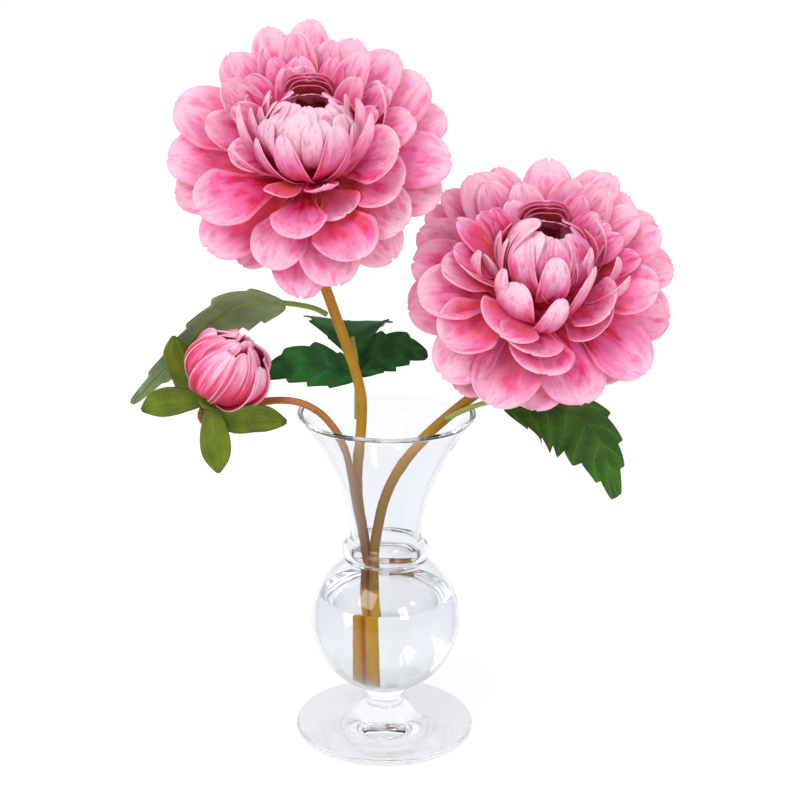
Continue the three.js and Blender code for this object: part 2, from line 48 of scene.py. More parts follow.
NECK_RADIUS, NECK_FLARE, NECK_CURVE = 16.2, 23.8, 1.78


def arc(radius, middle_r, middle_z, start, end, steps):
    """Points of an arc in the plane of radius and height, with angles in degrees from outwards."""
    angles = [math.radians(start + (end - start) * i / steps) for i in range(steps + 1)]
    return [(middle_r + radius * math.cos(a), middle_z + radius * math.sin(a)) for a in angles]


def turned(bm, outline, steps, matrix=None):
    """Turns an outline of radius and height pairs into a closed round body, and puts it in bm."""
    shape = bmesh.new()
    points = [shape.verts.new((r, 0.0, z)) for r, z in outline]
    for first, second in zip(points, points[1:]):
        shape.edges.new((first, second))
    line = [*shape.verts, *shape.edges]
    around = {"axis": (0, 0, 1), "cent": (0, 0, 0), "angle": math.tau}
    bmesh.ops.spin(shape, geom=line, steps=steps, use_merge=True, **around)
    bmesh.ops.remove_doubles(shape, verts=shape.verts, dist=0.002)
    bmesh.ops.recalc_face_normals(shape, faces=shape.faces)
    if matrix:
        bmesh.ops.transform(shape, matrix=matrix, verts=shape.verts)
    mesh = bpy.data.meshes.new("turned")
    shape.to_mesh(mesh)
    shape.free()
    bm.from_mesh(mesh)
    bpy.data.meshes.remove(mesh)


def finished(name, bm, materials, node):
    """Makes a piece from bm, scales it from millimetres, and lets it stand for its node."""
    bmesh.ops.scale(bm, vec=(MM, MM, MM), verts=bm.verts)
    mesh = bpy.data.meshes.new(name)
    bm.to_mesh(mesh)
    bm.free()
    mesh.shade_smooth()
    for material in materials:
        mesh.materials.append(material)
    piece = bpy.data.objects.new(name, mesh)
    bpy.context.scene.collection.objects.link(piece)
    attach(piece, "root")
    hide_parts(node)
    return piece


def rgb(code):
    """A colour from its usual code, as the shader takes it."""
    parts = [(code >> shift & 255) / 255 for shift in (16, 8, 0)]
    return (*[p / 12.92 if p < 0.04045 else ((p + 0.055) / 1.055) ** 2.4 for p in parts], 1.0)


def set_stops(ramp, stops):
    """Gives a colour ramp its stops of place and colour code. A new ramp has two, its first and its last."""
    for element, (place, code) in zip(ramp.elements, (stops[0], stops[-1])):
        element.position = place
        element.color = rgb(code)
    for place, code in stops[1:-1]:
        ramp.elements.new(place).color = rgb(code)


class Value:
    """What a node gives out. Plain arithmetic on a number adds the nodes that work it out."""

    def __init__(self, finish, node, out):
        self.finish = finish
        self.node = node
        self.out = out

    def math(self, operation, *others, flip=False):
        terms = [*others, self] if flip else [self, *others]
        return self.finish.node("ShaderNodeMath", {"operation": operation}, dict(enumerate(terms)))

    def __add__(self, other):
        return self.math("ADD", other)

    __radd__ = __add__

    def __mul__(self, other):
        return self.math("MULTIPLY", other)

    __rmul__ = __mul__

    def __sub__(self, other):
        return self.math("SUBTRACT", other)

    def __rsub__(self, other):
        return self.math("SUBTRACT", other, flip=True)

    def __abs__(self):
        return self.math("ABSOLUTE")

    def ramp(self, start, end):
        """0 below start, 1 above end, and smooth between them."""
        sockets = {"Value": self, "From Min": start, "From Max": end}
        return self.finish.node("ShaderNodeMapRange", {"interpolation_type": "SMOOTHSTEP"}, sockets)

    def colours(self, *stops):
        """A colour that changes with the value, from stops of place and colour code."""
        return self.finish.node("ShaderNodeValToRGB", {"stops": stops}, {"Fac": self})


class Finish:
    """A material or a world in the making. Every node comes from one method."""

    def __init__(self, name, kind=bpy.data.materials):
        self.owner = kind.new(name)
        self.owner.use_nodes = True
        self.tree = self.owner.node_tree
        self.tree.nodes.clear()

    def node(self, kind, settings, sockets, out=0):
        made = self.tree.nodes.new(kind)
        for name, value in settings.items():
            if name == "stops":
                set_stops(made.color_ramp, value)
            else:
                setattr(made, name, value)
        for name, value in sockets.items():
            if isinstance(value, Value):
                self.tree.links.new(value.node.outputs[value.out], made.inputs[name])
            else:
                made.inputs[name].default_value = value
        return Value(self, made, out)

    def place(self):
        return self.node("ShaderNodeTexCoord", {}, {}, "Object")

    def height(self):
        return self.node("ShaderNodeSeparateXYZ", {}, {"Vector": self.place()}, "Z")

    def mark(self, name):
        return self.node("ShaderNodeAttribute", {"attribute_name": name}, {}, "Fac")

    def point(self, x, y, z):
        return self.node("ShaderNodeCombineXYZ", {}, {"X": x, "Y": y, "Z": z})

    def noise(self, where, scale, detail, roughness=0.5):
        sockets = {"Vector": where, "Scale": scale, "Detail": detail, "Roughness": roughness}
        return self.node("ShaderNodeTexNoise", {}, sockets)

    def mix(self, first, second, share):
        return self.node("ShaderNodeMix", {"data_type": "RGBA"}, {0: share, 6: first, 7: second}, 2)

    def bump(self, height, strength, distance):
        sockets = {"Height": height, "Strength": strength, "Distance": distance}
        return self.node("ShaderNodeBump", {}, sockets)

    def ends_in(self, shader, output="ShaderNodeOutputMaterial"):
        """Leads a shader to the output, and gives back the material or the world."""
        self.node(output, {}, {"Surface": shader})
        return self.owner

    def surface(self, sockets):
        """Ends in one Principled shader."""
        return self.ends_in(self.node("ShaderNodeBsdfPrincipled", {}, sockets))


def trumpet(inset):
    """The flared neck from its foot up, so far inside its outer face."""
    points = []
    for i in range(33):
        share = i / 32
        slope = NECK_FLARE * NECK_CURVE * max(share, 0.001) ** (NECK_CURVE - 1) / NECK_HEIGHT
        r = NECK_RADIUS + NECK_FLARE * share**NECK_CURVE - inset * math.sqrt(1 + slope * slope)
        points.append((r, NECK_FOOT + NECK_HEIGHT * share))
    return points


vase_outside = [
    (0, 0), (39.6, 0), *arc(1.25, 40.05, 1.25, -85, 85, 8), (37, 2.95), (33, 3.5), (30, 3.95), (25.5, 4.75),
    (22, 5.6), (19, 6.5), (15.6, 7.95), (13, 9.25), (11.2, 10.4), (9.6, 11.9), (8.7, 13.4), (8.5, 14.6),
    (8.7, 15.7), (9.5, 17.1), (10.3, 18.5), (10.7, 19.7), (10.75, 20.8),
    *arc(BALL_OUTSIDE, 0, BALL_MIDDLE, -70, 58.8, 60), (17.3, 84.5), (17.0, 84.9),
    *arc(4.8, 15.4, 88.2, -50, 62, 16), (17.1, 93.2), (16.6, 94.0), (16.35, 94.9), *trumpet(0),
]
vase_inside = [
    *arc(0.85, 39.2, 154.0, 15, 165, 8), *reversed(trumpet(NECK_WALL)), (14.5, 94.6), (14.7, 93.2),
    (15.4, 92.0), *arc(3.3, 14.4, 88.4, 60, -58, 12), (15.6, 85.0), (15.3, 84.2),
    *arc(BALL_INSIDE, 0, BALL_MIDDLE, 62, -90, 64),
]

bm = bmesh.new()
turned(bm, [*vase_outside, *vase_inside], steps=112)
glass = Finish("clear_glass")
ripple = glass.noise(glass.place(), 38.0, 1.0) * 0.8 + glass.noise(glass.place(), 160.0, 1.0) * 0.2
# Glass that is seen edge on is greyer, apart from the rim's bead: painted shade that stands in for the dark
# surroundings seen in the glass's edges and the long way through its wall. The foot is a little clearer
height = glass.height()
bead = height.ramp(150.5 * MM, 152.5 * MM)
edge_on = glass.node("ShaderNodeLayerWeight", {}, {"Blend": 0.5}, "Facing").ramp(0.58, 1.0) * (1 - bead)
above_foot = height.ramp(15 * MM, 30 * MM) * (1 - bead)
body = glass.mix((0.945, 0.955, 0.98, 1), (0.885, 0.897, 0.925, 1), above_foot)
clear = {
    "Base Color": glass.mix(body, (0.44, 0.455, 0.5, 1), edge_on),
    "Roughness": 0.0,
    "IOR": 1.5,
    "Specular Tint": (0.45, 0.45, 0.48, 1),
    "Transmission Weight": 1.0,
    "Normal": glass.bump(ripple, 0.3, 0.0006),
}
finished("vase_glass", bm, [glass.surface(clear)], "vase")


# The water is plain and still, and fills two thirds of the ball. Its edge climbs the glass a little, and a
# hair's breadth is left between the two, because two faces in one place would show as dark specks.
WATER_LEVEL = 67.0
WATER_CLIMB, CLIMB_WIDTH, WATER_GAP = 1.3, 2.8, 0.06
water_radius = BALL_INSIDE - WATER_GAP
top_angle = math.degrees(math.asin((WATER_LEVEL + WATER_CLIMB - BALL_MIDDLE) / water_radius))
water_outline = arc(water_radius, 0, BALL_MIDDLE, -90, top_angle, 56)
edge_r = water_outline[-1][0]
for share in (0.15, 0.3, 0.5, 0.75, 1.0):
    water_outline.append((edge_r - CLIMB_WIDTH * share, WATER_LEVEL + WATER_CLIMB * (1 - share) ** 3))
bm = bmesh.new()
turned(bm, [*water_outline, (20, WATER_LEVEL), (9, WATER_LEVEL), (0, WATER_LEVEL)], steps=96)
water = Finish("still_water")
still = {
    "Base Color": (0.985, 0.992, 0.99, 1),
    "Roughness": 0.0,
    "IOR": 1.333,
    "Specular Tint": (0.5, 0.5, 0.5, 1),
    "Transmission Weight": 1.0,
    "Normal": water.bump(water.noise(water.place(), 60.0, 1.0), 0.15, 0.0004),
}
finished("vase_water", bm, [water.surface(still)], "water")


# The stems are wires in a jacket of soft plastic, moulded with the small swellings and fine lengthwise lines
# of a real stem. They are cut straight below, stand in the water, and end in the cup under their flower.
TALL_ROUTE = [
    (-5.2, 3.4, 23.4), (-6.9, 3.6, 66), (-8.4, 3.2, 82), (-10.6, 2.4, 97), (-13, 2.3, 113), (-13, 2.5, 130),
    (-11.6, 3, 145), (-11.4, 3.5, 159), (-14.4, 4, 172.5), (-19, 4.5, 186), (-25.5, 5.8, 204),
    (-30.8, 8.5, 219), (-32.4, 13, 232), (-32.6, 16, 243), (-32.6, 15.6, 250), (-32.5, 12.2, 253.2),
    (-32.6, 7.9, 255.7),
]
RIGHT_ROUTE = [
    (-3.4, -2.4, 23), (-5.2, -2.2, 66), (-5.2, -1, 88), (-3.4, 0.5, 101), (-0.4, 1, 114), (5.8, 2, 127.5),
    (15.4, 2.6, 140), (27.4, 3.5, 151.5), (41, 5.5, 163), (53, 10, 175), (61, 15, 187), (64.6, 17.3, 195),
    (65.4, 14.1, 200.2), (65.9, 9.8, 202.7),
]
BUD_ROUTE = [
    (-8.2, -0.9, 23.8), (-10.1, -0.5, 66), (-9.4, -2.4, 82), (-10.6, -3.4, 97), (-13.6, -3.6, 112),
    (-15.8, -3.6, 126), (-18.4, -3.6, 138), (-23.2, -3, 147), (-30.6, -2, 154.8), (-41, 0, 158.8),
    (-55.9, 2, 157.8), (-66.9, 4, 153.2), (-73, 2.6, 148.9), (-79, 0.4, 147.2), (-82.6, -0.9, 150.2),
    (-82.8, -1, 153.4), (-81.1, -1.3, 156.1),
]


class Route:
    """A smooth line through points, the same curve as the solid follows, read by its share of the length."""

    def __init__(self, points):
        knots = [Vector(p) for p in points]
        knots = [2 * knots[0] - knots[1], *knots, 2 * knots[-1] - knots[-2]]
        self.points = []
        for a, b, c, d in zip(knots, knots[1:], knots[2:], knots[3:]):
            before, span, after = (b - a).length ** 0.5, (c - b).length ** 0.5, (d - c).length ** 0.5
            leaving = ((b - a) / before - (c - a) / (before + span) + (c - b) / span) * span
            arriving = ((c - b) / span - (d - b) / (span + after) + (d - c) / after) * span
            for i in range(24):
                t = i / 24
                square, cube = t * t, t * t * t
                place = b * (2 * cube - 3 * square + 1) + leaving * (cube - 2 * square + t)
                self.points.append(place + c * (3 * square - 2 * cube) + arriving * (cube - square))
        self.points.append(knots[-2])
        self.lengths = [0.0]
        for first, second in zip(self.points, self.points[1:]):
            self.lengths.append(self.lengths[-1] + (second - first).length)

    def at(self, share):
        wanted = min(max(share, 0.0), 1.0) * self.lengths[-1]
        high = min(bisect_right(self.lengths, wanted), len(self.lengths) - 1)
        part = (wanted - self.lengths[high - 1]) / (self.lengths[high] - self.lengths[high - 1])
        return self.points[high - 1].lerp(self.points[high], part)

    def direction(self, share):
        return (self.at(share + 0.004) - self.at(share - 0.004)).normalized()


def marks(bm, *names):
    """The named numbers that the points of bm carry for the finishes, added where they aren't there yet."""
    return [bm.verts.layers.float.get(name) or bm.verts.layers.float.new(name) for name in names]


def tube(bm, route, radius_at, sides, stations):
    """A closed round tube along a route, made by extruding its first ring from station to station."""
    along, across = marks(bm, "along", "across")
    ring = bmesh.ops.create_circle(bm, cap_ends=True, segments=sides, radius=1.0)["verts"]
    for i, vertex in enumerate(ring):
        vertex[across] = abs(2 * i / sides - 1)
    edges = list({edge for vertex in ring for edge in vertex.link_edges})
    tangent = route.direction(0)
    side = Vector((1, 0, 0)) if abs(tangent.x) < 0.9 else Vector((0, 1, 0))
    now = Matrix.Identity(4)
    for i in range(stations + 1):
        share = i / stations
        tangent = route.direction(share)
        side = (side - tangent * side.dot(tangent)).normalized()
        radius = radius_at(share)
        columns = (side * radius, tangent.cross(side) * radius, tangent * radius)
        then = Matrix.Translation(route.at(share)) @ Matrix(columns).transposed().to_4x4()
        if i:
            out = bmesh.ops.extrude_edge_only(bm, edges=edges)["geom"]
            ring = [part for part in out if isinstance(part, bmesh.types.BMVert)]
            fresh = set(ring)
            edges = [part for part in out if isinstance(part, bmesh.types.BMEdge)]
            edges = [edge for edge in edges if edge.verts[0] in fresh and edge.verts[1] in fresh]
        bmesh.ops.transform(bm, matrix=then @ now.inverted(), verts=ring)
        for vertex in ring:
            vertex[along] = share
        now = then
    bmesh.ops.holes_fill(bm, edges=edges)
    bmesh.ops.recalc_face_normals(bm, faces=bm.faces)


def stem_finish(name, dark, light):
    """A jacket with lengthwise lines and soft patches, darker near the flower, and a bright yellow under
    water: partly the stems' own ochre and partly painted light that makes up for the shade and the veil of
    the glass and water.
    """
    finish = Finish(name)
    along, around = finish.mark("along"), finish.mark("across")
    lines = finish.noise(finish.point(around * 7, along * 4, 0.3), 3.0, 3.0)
    patches = finish.noise(finish.place(), 90.0, 3.0)
    specks = finish.noise(finish.place(), 1400.0, 2.0)
    shade = lines * 0.55 + patches * 0.45 - along.ramp(0.72, 1.0) * 0.3
    dry = shade.colours((0.12, dark), (0.55, light))
    # Painted light: under the water the jacket is brighter and more saturated, to make up for the shade and
    # the veil of the glass and water in front of it.
    bright_under_water = finish.mix(rgb(0xFFBE00), rgb(0xEEA800), lines)
    base = finish.mix(bright_under_water, dry, finish.height().ramp(WATER_LEVEL * MM, (WATER_LEVEL + 4) * MM))
    sockets = {
        "Base Color": finish.mix(base, rgb(dark), specks.ramp(0.56, 0.72) * 0.3),
        "Roughness": 0.38 + lines * 0.25,
        "Specular IOR Level": 0.35,
        "Normal": finish.bump(lines * 0.7 + specks * 0.3, 0.35, 0.0004),
    }
    return finish.surface(sockets)


def jointed(radius, joints):
    """How thick a stem is along its way. It swells a little at the joints of its old leaves."""

    def radius_at(share):
        return radius * (0.985 + sum(0.09 * math.exp(-(((share - joint) / 0.012) ** 2)) for joint in joints))

    return radius_at


ochre = stem_finish("ochre_stem", 0x6E4A02, 0xB4830E)
rust = stem_finish("rust_stem", 0x8A4A1C, 0xAE7238)
stem_jobs = [
    ("stem_tall", "stems", TALL_ROUTE, 2.4, (0.46, 0.66), ochre),
    ("stem_right", "stems", RIGHT_ROUTE, 2.4, (0.52, 0.74), ochre),
    ("stem_bud", "bud_stem", BUD_ROUTE, 1.65, (0.58, 0.8), rust),
]
for node, slot, points, radius, joints, jacket in stem_jobs:
    bm = bmesh.new()
    tube(bm, Route(points), jointed(radius, joints), sides=18, stations=110)
    finished(node + "_jacket", bm, [jacket], node)


# The open dahlias are silk: each petal is cut from printed cloth, pressed to a spoon shape and glued by its
# narrow claw to the flower's middle. Back petals stand, front ones hang, and the head is a closed ball.
HEAD_RISE, FRONT_RISE, BACK_RISE = 73, 36, 30
BALL_HEIGHT = 18
SILK = 0.35
# Open petals: azimuth round the layer's axis with 90 at the back, reach, width, and lift above its plane
TALL_BACK = [
    (3, 60, 26, 8), (25, 63, 24, -4), (40, 63, 27, 2), (55, 62, 22, 8), (66, 62, 18, -3), (76, 64, 20, -1),
    (95, 66, 21, 8), (109, 69, 20, 1), (125, 69, 22, -5), (153, 64, 28, 8), (173, 61, 26, 1),
    (188, 58, 26, -5), (222, 56, 28, 3), (238, 50, 22, -3), (254, 49, 24, 8), (262, 56, 25, -1),
    (285, 54, 27, 5), (309, 53, 26, -1), (327, 49, 27, 7), (348, 56, 26, 0),
]
TALL_FRONT = [
    (51, 48, 14, 16), (66, 54, 15, 24), (83, 57, 15, 16), (99, 59, 17, 22), (119, 58, 16, 15),
    (139, 52, 17, 22), (157, 49, 19, 15), (178, 38, 17, 28), (209, 54, 29, 14), (265, 42, 24, 18),
    (291, 52, 28, 10), (303, 33, 20, 16), (337, 44, 28, 14), (354, 44, 27, 24), (20, 50, 21, 20),
]
TALL_INNER = [
    (109, 49, 12, 26), (100, 47, 16, 27), (90, 44, 15, 26), (110, 44, 13, 30), (74, 48, 12, 26),
    (58, 44, 12, 32), (128, 47, 13, 26), (34, 39, 11, 34), (113, 56, 13, 18), (90, 54, 13, 18),
    (146, 42, 13, 34), (42, 48, 14, 24),
]
TALL_COLLAR = [
    (22, 40, 10, 42), (44, 41, 11, 38), (66, 43, 14, 36), (104, 44, 14, 36), (130, 42, 10, 38),
    (151, 43, 11, 42), (240, 33, 14, 8), (286, 31, 15, 14),
]
RIGHT_BACK = [
    (19, 60, 24, 2), (41, 66, 20, -5), (49, 59, 20, 6), (62, 62, 18, 9), (69, 65, 18, -2), (88, 60, 24, 8),
    (104, 61, 18, -1), (120, 60, 27, 8), (132, 62, 18, 2), (143, 63, 20, -4), (155, 60, 24, 3),
    (174, 59, 28, 8), (192, 59, 30, 0), (218, 61, 28, 8), (231, 58, 26, 0), (248, 58, 30, 7),
    (264, 52, 28, -1), (284, 53, 30, 7), (312, 50, 26, 0), (323, 56, 28, 6), (349, 57, 28, -1),
]
RIGHT_FRONT = [
    (24, 58, 22, 14), (40, 55, 18, 20), (58, 54, 18, 22), (79, 53, 17, 16), (102, 48, 17, 24),
    (124, 54, 18, 16), (176, 51, 20, 22), (191, 60, 27, 14), (212, 59, 28, 16), (228, 44, 30, 30),
    (251, 44, 29, 24), (262, 46, 29, 16), (318, 35, 25, 18), (328, 36, 28, 28), (353, 50, 25, 16),
]
RIGHT_INNER = [
    (114, 42, 13, 27), (135, 46, 12, 31), (129, 43, 11, 32), (86, 40, 16, 26), (59, 41, 13, 29),
    (155, 53, 12, 32), (96, 42, 14, 22), (47, 41, 12, 28), (168, 49, 13, 28), (68, 46, 14, 24),
    (18, 45, 13, 26), (30, 42, 12, 33),
]
RIGHT_COLLAR = [
    (26, 38, 11, 44), (46, 40, 12, 40), (70, 42, 14, 38), (104, 42, 14, 38), (132, 40, 12, 40),
    (152, 39, 10, 44), (198, 45, 10, 28),
]
# The collar's roots: their radius, their height, and the height under petals that lift less than is flat
COLLAR_ROOT, COLLAR_HIGH, COLLAR_LOW, COLLAR_FLAT = 9, 5, 1, 25
# Tongues that stand close round the head: azimuth of the root, turn on the way up, radius and height of the
# root and of the tip, bow, width, and how far one edge leans out
TALL_TONGUES = [
    (188, 0, 14, 2, 28.8, 33.6, -31, 5, 2.2), (186, 0, 14, 3, 24.4, 31.1, -18, 5.2, 2.2),
    (180, 0, 15, 8, 19.8, 30.4, -15, 5.6, 2.4), (165, 0, 18, 14, 16.6, 36.5, -20, 4.6, 2),
    (204, 0, 12, 2, 35.2, 19.2, -30, 6.4, 1.2), (-8, 0, 14, 3, 20.5, 35.9, -31, 6.6, -2.4),
    (-22, 0, 14, 1, 29.9, 33, -14, 5.4, -2.2), (15, 0, 15, 3, 30.6, 39.4, -49, 10.5, -1.2),
    (5, 0, 15, 10, 15.6, 35.7, -14, 6.4, -1.6),
]
RIGHT_TONGUES = [
    (172, 0, 13, 1, 20.2, 30.6, -31, 7.6, 2.6), (186, 0, 13, 1, 26.8, 22.3, -15, 5.8, 2.3),
    (188, 0, 15, -1, 30.7, 24.9, -48, 5.8, 2.5), (-142, 0, 15, -2, 24.2, 22.6, -42, 8.8, 0.6),
    (-125, 0, 12, -5, 24.5, 19, -55, 19, 0), (-100, 25, 18, -6, 24.5, 14.5, -60, 11, 0),
    (-62, 24, 17, -2, 24.5, 25, -18, 9.6, 0), (-30, 0, 14, 4, 19.3, 30.5, -14, 6.2, -1.8),
    (-5, 0, 15, 0, 30.6, 23.3, -46, 7.2, -2.5), (-18, 0, 15, 0, 36.2, 18.8, -38, 6.8, -2.5),
    (20, 0, 15, 2, 21.6, 36.7, -54, 9.2, -1.2),
]
# Petals of the closed head: azimuth and polar angle of the tip, counted from the ball's underside, radius,
# width, polar angle of the root, how far the petal turns on its way up, and depth of colour
# The petals at the top of the dome are the palest: partly their print, partly a painted highlight where the
# light falls on the dome.
TALL_HEAD = [
    (-158, 96, 21.8, 13.5, 24, -34, -0.05), (-119, 113, 20.8, 12.8, 20, -25, -0.1),
    (-50, 122, 20.6, 14, 20, 20, -0.08), (-20, 113, 20.8, 13, 22, 38, -0.12), (22, 112, 21, 16, 30, 0, 0.0),
    (62, 118, 20.6, 17, 30, 0, 0.0), (104, 116, 20.6, 17, 30, 0, 0.0), (146, 108, 21.4, 16, 30, 0, 0.0),
    (-150, 122, 19.4, 16, 55, -4, -0.36), (-133, 138, 18.9, 15, 60, 5, -0.54),
    (-96, 143, 19.1, 16, 60, -6, -0.6), (-74, 134, 19.5, 14, 60, 4, -0.5),
    (-34, 131, 19.2, 15, 60, 4, -0.34), (-4, 136, 18.8, 15, 60, 0, -0.2), (176, 138, 18.9, 14, 60, 0, -0.2),
    (-166, 150, 18.2, 9, 80, 10, -0.42), (-146, 153, 17.9, 10, 80, 0, -0.6),
    (-121, 156, 17.9, 11, 80, -8, -0.66), (-90, 152, 18.1, 11, 80, 6, -0.6),
    (-62, 150, 18.2, 12, 80, 0, -0.4), (-30, 150, 18.2, 11, 80, 0, -0.2), (0, 152, 17.9, 12, 80, 0, -0.1),
    (30, 156, 17.6, 12, 80, 0, 0.0), (152, 156, 17.6, 11, 80, 0, 0.0),
]
# Its top petal is the palest: partly its print, partly a painted highlight where the light falls on the
# dome.
RIGHT_HEAD = [
    (-142, 146, 18.8, 14.5, 20, -42, -0.2), (-82, 125, 18.8, 14, 20, 6, -0.1),
    (-25, 146, 17.5, 13.5, 22, 35, 0.1), (-175, 139, 18.8, 7, 60, -10, -0.24),
    (-169, 124, 20.4, 6.5, 45, -12, -0.22), (5, 120, 18.4, 12, 30, 10, 0.16),
    (36, 116, 19.6, 15, 30, 0, 0.1), (70, 118, 20.0, 17, 30, 0, 0.0), (104, 116, 20.4, 17, 30, 0, 0.0),
    (146, 112, 20.4, 14, 30, 0, -0.05), (-112, 142, 17.8, 9, 60, 0, -0.1),
    (-80, 150, 17.6, 11, 60, 0, -0.05), (-60, 150, 17.4, 10, 70, 0, 0.0), (8, 140, 17.8, 13, 60, 0, 0.1),
    (168, 146, 18.4, 12, 60, 0, -0.15), (-172, 168, 19.0, 16, 80, 0, -0.66),
    (-128, 158, 18.2, 12, 80, 0, -0.5), (-98, 156, 17.6, 10, 80, 0, -0.3),
    (-40, 152, 17.4, 10, 80, 0, 0.05), (0, 152, 17.4, 12, 80, 0, 0.08), (30, 158, 17.4, 12, 80, 0, 0.1),
]
# How deep the root of a head petal lies under the ball's face, then the lining that closes the ball: how
# many petals, their radius and width, and the polar angles of root and tip
HEAD_SUNK = 3
LINING_COUNT, LINING_RADIUS, LINING_WIDTH, LINING_START, LINING_END = 9, 16.8, 14, 30, 145
# The hood of standing petals behind the head's opening: azimuth, radius of root and tip, height of the tip,
# width, and depth of colour
HOOD_FOOT, HOOD_BOW, HOOD_CUP = 9, -30, -0.14
# The inner arches are deeper in colour: partly the flower's darker middle, partly painted shade in the
# head's opening.
HOOD = [
    (20, 15.5, 18.0, 31, 13, 0.1), (158, 15.5, 18, 32.5, 13, 0.1), (92, 15.4, 15.8, 39.4, 24, 0.2),
    (94, 14.4, 14.4, 38.5, 22, 0.45), (89, 13.3, 13.1, 37.5, 20.5, 0.65), (92, 12.2, 11.6, 36, 18.5, 0.82),
]
# The heart that all petals are glued to: its part under the head's ball, and its part in the back layer
HEART_DOME = arc(12.2, 0, BALL_HEIGHT, -30, 20, 8)
HEART_HEAD = [(0, -2), (8, -1), (12.5, 6), *HEART_DOME, (9, 24), (5, 25.5), (0, 26)]
HEART_BACK = [(0, -7), (9, -7), (12.6, -3), (13.4, 1), (11.5, 5), (0, 8)]


def frame_along(place, axis):
    """The place, right, back and axis of a flower or of one of its layers."""
    up = Vector(axis).normalized()
    right = (Vector((1, 0, 0)) - up * up.x).normalized()
    return Vector(place), right, up.cross(right), up


def flower_frame(place, rise, turn):
    """The frame of a layer whose axis looks to the front, so many degrees up and turned to the right."""
    high, aside = math.radians(rise), math.radians(turn)
    axis = (math.cos(high) * math.sin(aside), -math.cos(high) * math.cos(aside), math.sin(high))
    return frame_along(place, axis)


def standing(layer):
    """The matrix that stands a turned body in a layer."""
    matrix = Matrix(layer[1:]).transposed().to_4x4()
    matrix.translation = layer[0]
    return matrix


def widening(along, foot):
    """The width of a petal that grows from its foot to its middle, as a share of the whole width."""
    return foot + (1 - foot) * math.sin(min(1, along / 0.6) * math.pi / 2)


def tip_round(along, start, length, power, bluntness):
    """How a tip narrows from where it starts."""
    return (1 - max(0, (along - start) / length) ** power) ** bluntness


def petal_outline(along):
    """An open petal: a narrow claw and a broad round tip."""
    return (0.12 + 0.88 * min(1, along / 0.66) ** 1.3) * tip_round(along, 0.6, 0.402, 2.6, 0.45)


def wrap_outline(along):
    """A close petal of the head: broad from its foot on."""
    return widening(along, 0.5) * tip_round(along, 0.58, 0.425, 2.2, 0.47)


def tongue_outline(along):
    """A narrow upright petal, widest in its middle."""
    return widening(along, 0.3) * tip_round(along, 0.5, 0.51, 1.9, 0.6)


def petal(
    bm, layer, azimuth, root, tip, bow, width, cup, chance, depth=0, outline=petal_outline, ruffle=0.5,
    tilt=0, swirl=0, skew=0, curl=0, roll=0, rounded=0, notch=0, columns=14, rows=20,
):
    """One petal. Its middle line is an arc from root to tip in the plane of the layer's axis and azimuth.
    bow is the arc's half angle, cup lifts the sides, curl bends the tip back and roll the edges. chance and
    depth are for the finish: a number for each petal, and how much deeper its colour is."""
    values = marks(bm, "across", "along", "chance", "depth")
    place, right, back, up = layer
    turn = math.radians(bow)
    slope = math.atan2(tip[1] - root[1], tip[0] - root[0])
    size = math.hypot(tip[0] - root[0], tip[1] - root[1]) / (2 * math.sin(turn))
    phase = chance * 40
    made = bmesh.ops.create_grid(bm, x_segments=columns, y_segments=rows, size=1.0)
    for vertex in made["verts"]:
        across, step = vertex.co.x, (vertex.co.y + 1) / 2
        row = 0.35 * step + 0.65 * math.sin(step * math.pi / 2)
        half = width / 2 * outline(row)
        along = row - rounded * across * across * row**12
        along -= notch * math.exp(-((across / 0.3) ** 2)) * row**14
        along += 0.006 * math.sin(across * 5 + phase * 3.1) * row**10
        tangent = slope + turn * (1 - 2 * along)
        wave = math.sin(across * 5.2 + phase) * 0.3 * (1 - 0.5 * row)
        wave += math.sin(row * 7.5 + phase * 1.7 + across) * across**4 * ruffle * row * row
        wave += math.sin(across * 6 + phase * 2.3) * 0.3 * ruffle * row**6
        wave -= curl * max(0, (row - 0.6) / 0.4) ** 2 + roll * max(0, (abs(across) - 0.5) / 0.5) ** 2 * row
        from_middle = (across * half * 2 / width) ** 2 + (0.85 * max(0, (row - 0.6) / 0.4)) ** 2
        rise = cup * width / 2 * from_middle + tilt * across * outline(row) + wave
        r = root[0] + size * (math.sin(slope + turn) - math.sin(tangent)) - math.sin(tangent) * rise
        h = root[1] + size * (math.cos(tangent) - math.cos(slope + turn)) + math.cos(tangent) * rise
        angle = math.radians(azimuth + swirl * along)
        out = right * math.cos(angle) + back * math.sin(angle)
        vertex.co = place + out * r + up * h + up.cross(out) * (half * across + skew * row * row)
        for mark, value in zip(values, (across, row, chance, depth)):
            vertex[mark] = value


def over_ball(radius, middle, start, end, root_sunk=0, tip_sunk=0):
    """Root, tip and bow of a petal that bulges to a ball, between two polar angles from its underside."""

    def on_ball(angle, r):
        return (r * math.sin(math.radians(angle)), middle - r * math.cos(math.radians(angle)))

    root, tip = on_ball(start, radius - root_sunk), on_ball(end, radius - tip_sunk)
    crest = on_ball((start + end) / 2, radius)
    bulge = math.hypot(crest[0] - (root[0] + tip[0]) / 2, crest[1] - (root[1] + tip[1]) / 2)
    chord = math.hypot(tip[0] - root[0], tip[1] - root[1])
    return root, tip, -2 * math.degrees(math.atan(2 * bulge / chord))


def tip_at(reach, lift):
    """Radius and height of a tip, from how far it reaches and the degrees that it lifts."""
    return (reach * math.cos(math.radians(lift)), reach * math.sin(math.radians(lift)))


def thickened(piece, thickness):
    """Gives a piece of cloth its thickness, half on each side."""
    cloth = piece.modifiers.new("cloth", "SOLIDIFY")
    cloth.thickness = thickness * MM
    cloth.offset = 0
    return cloth


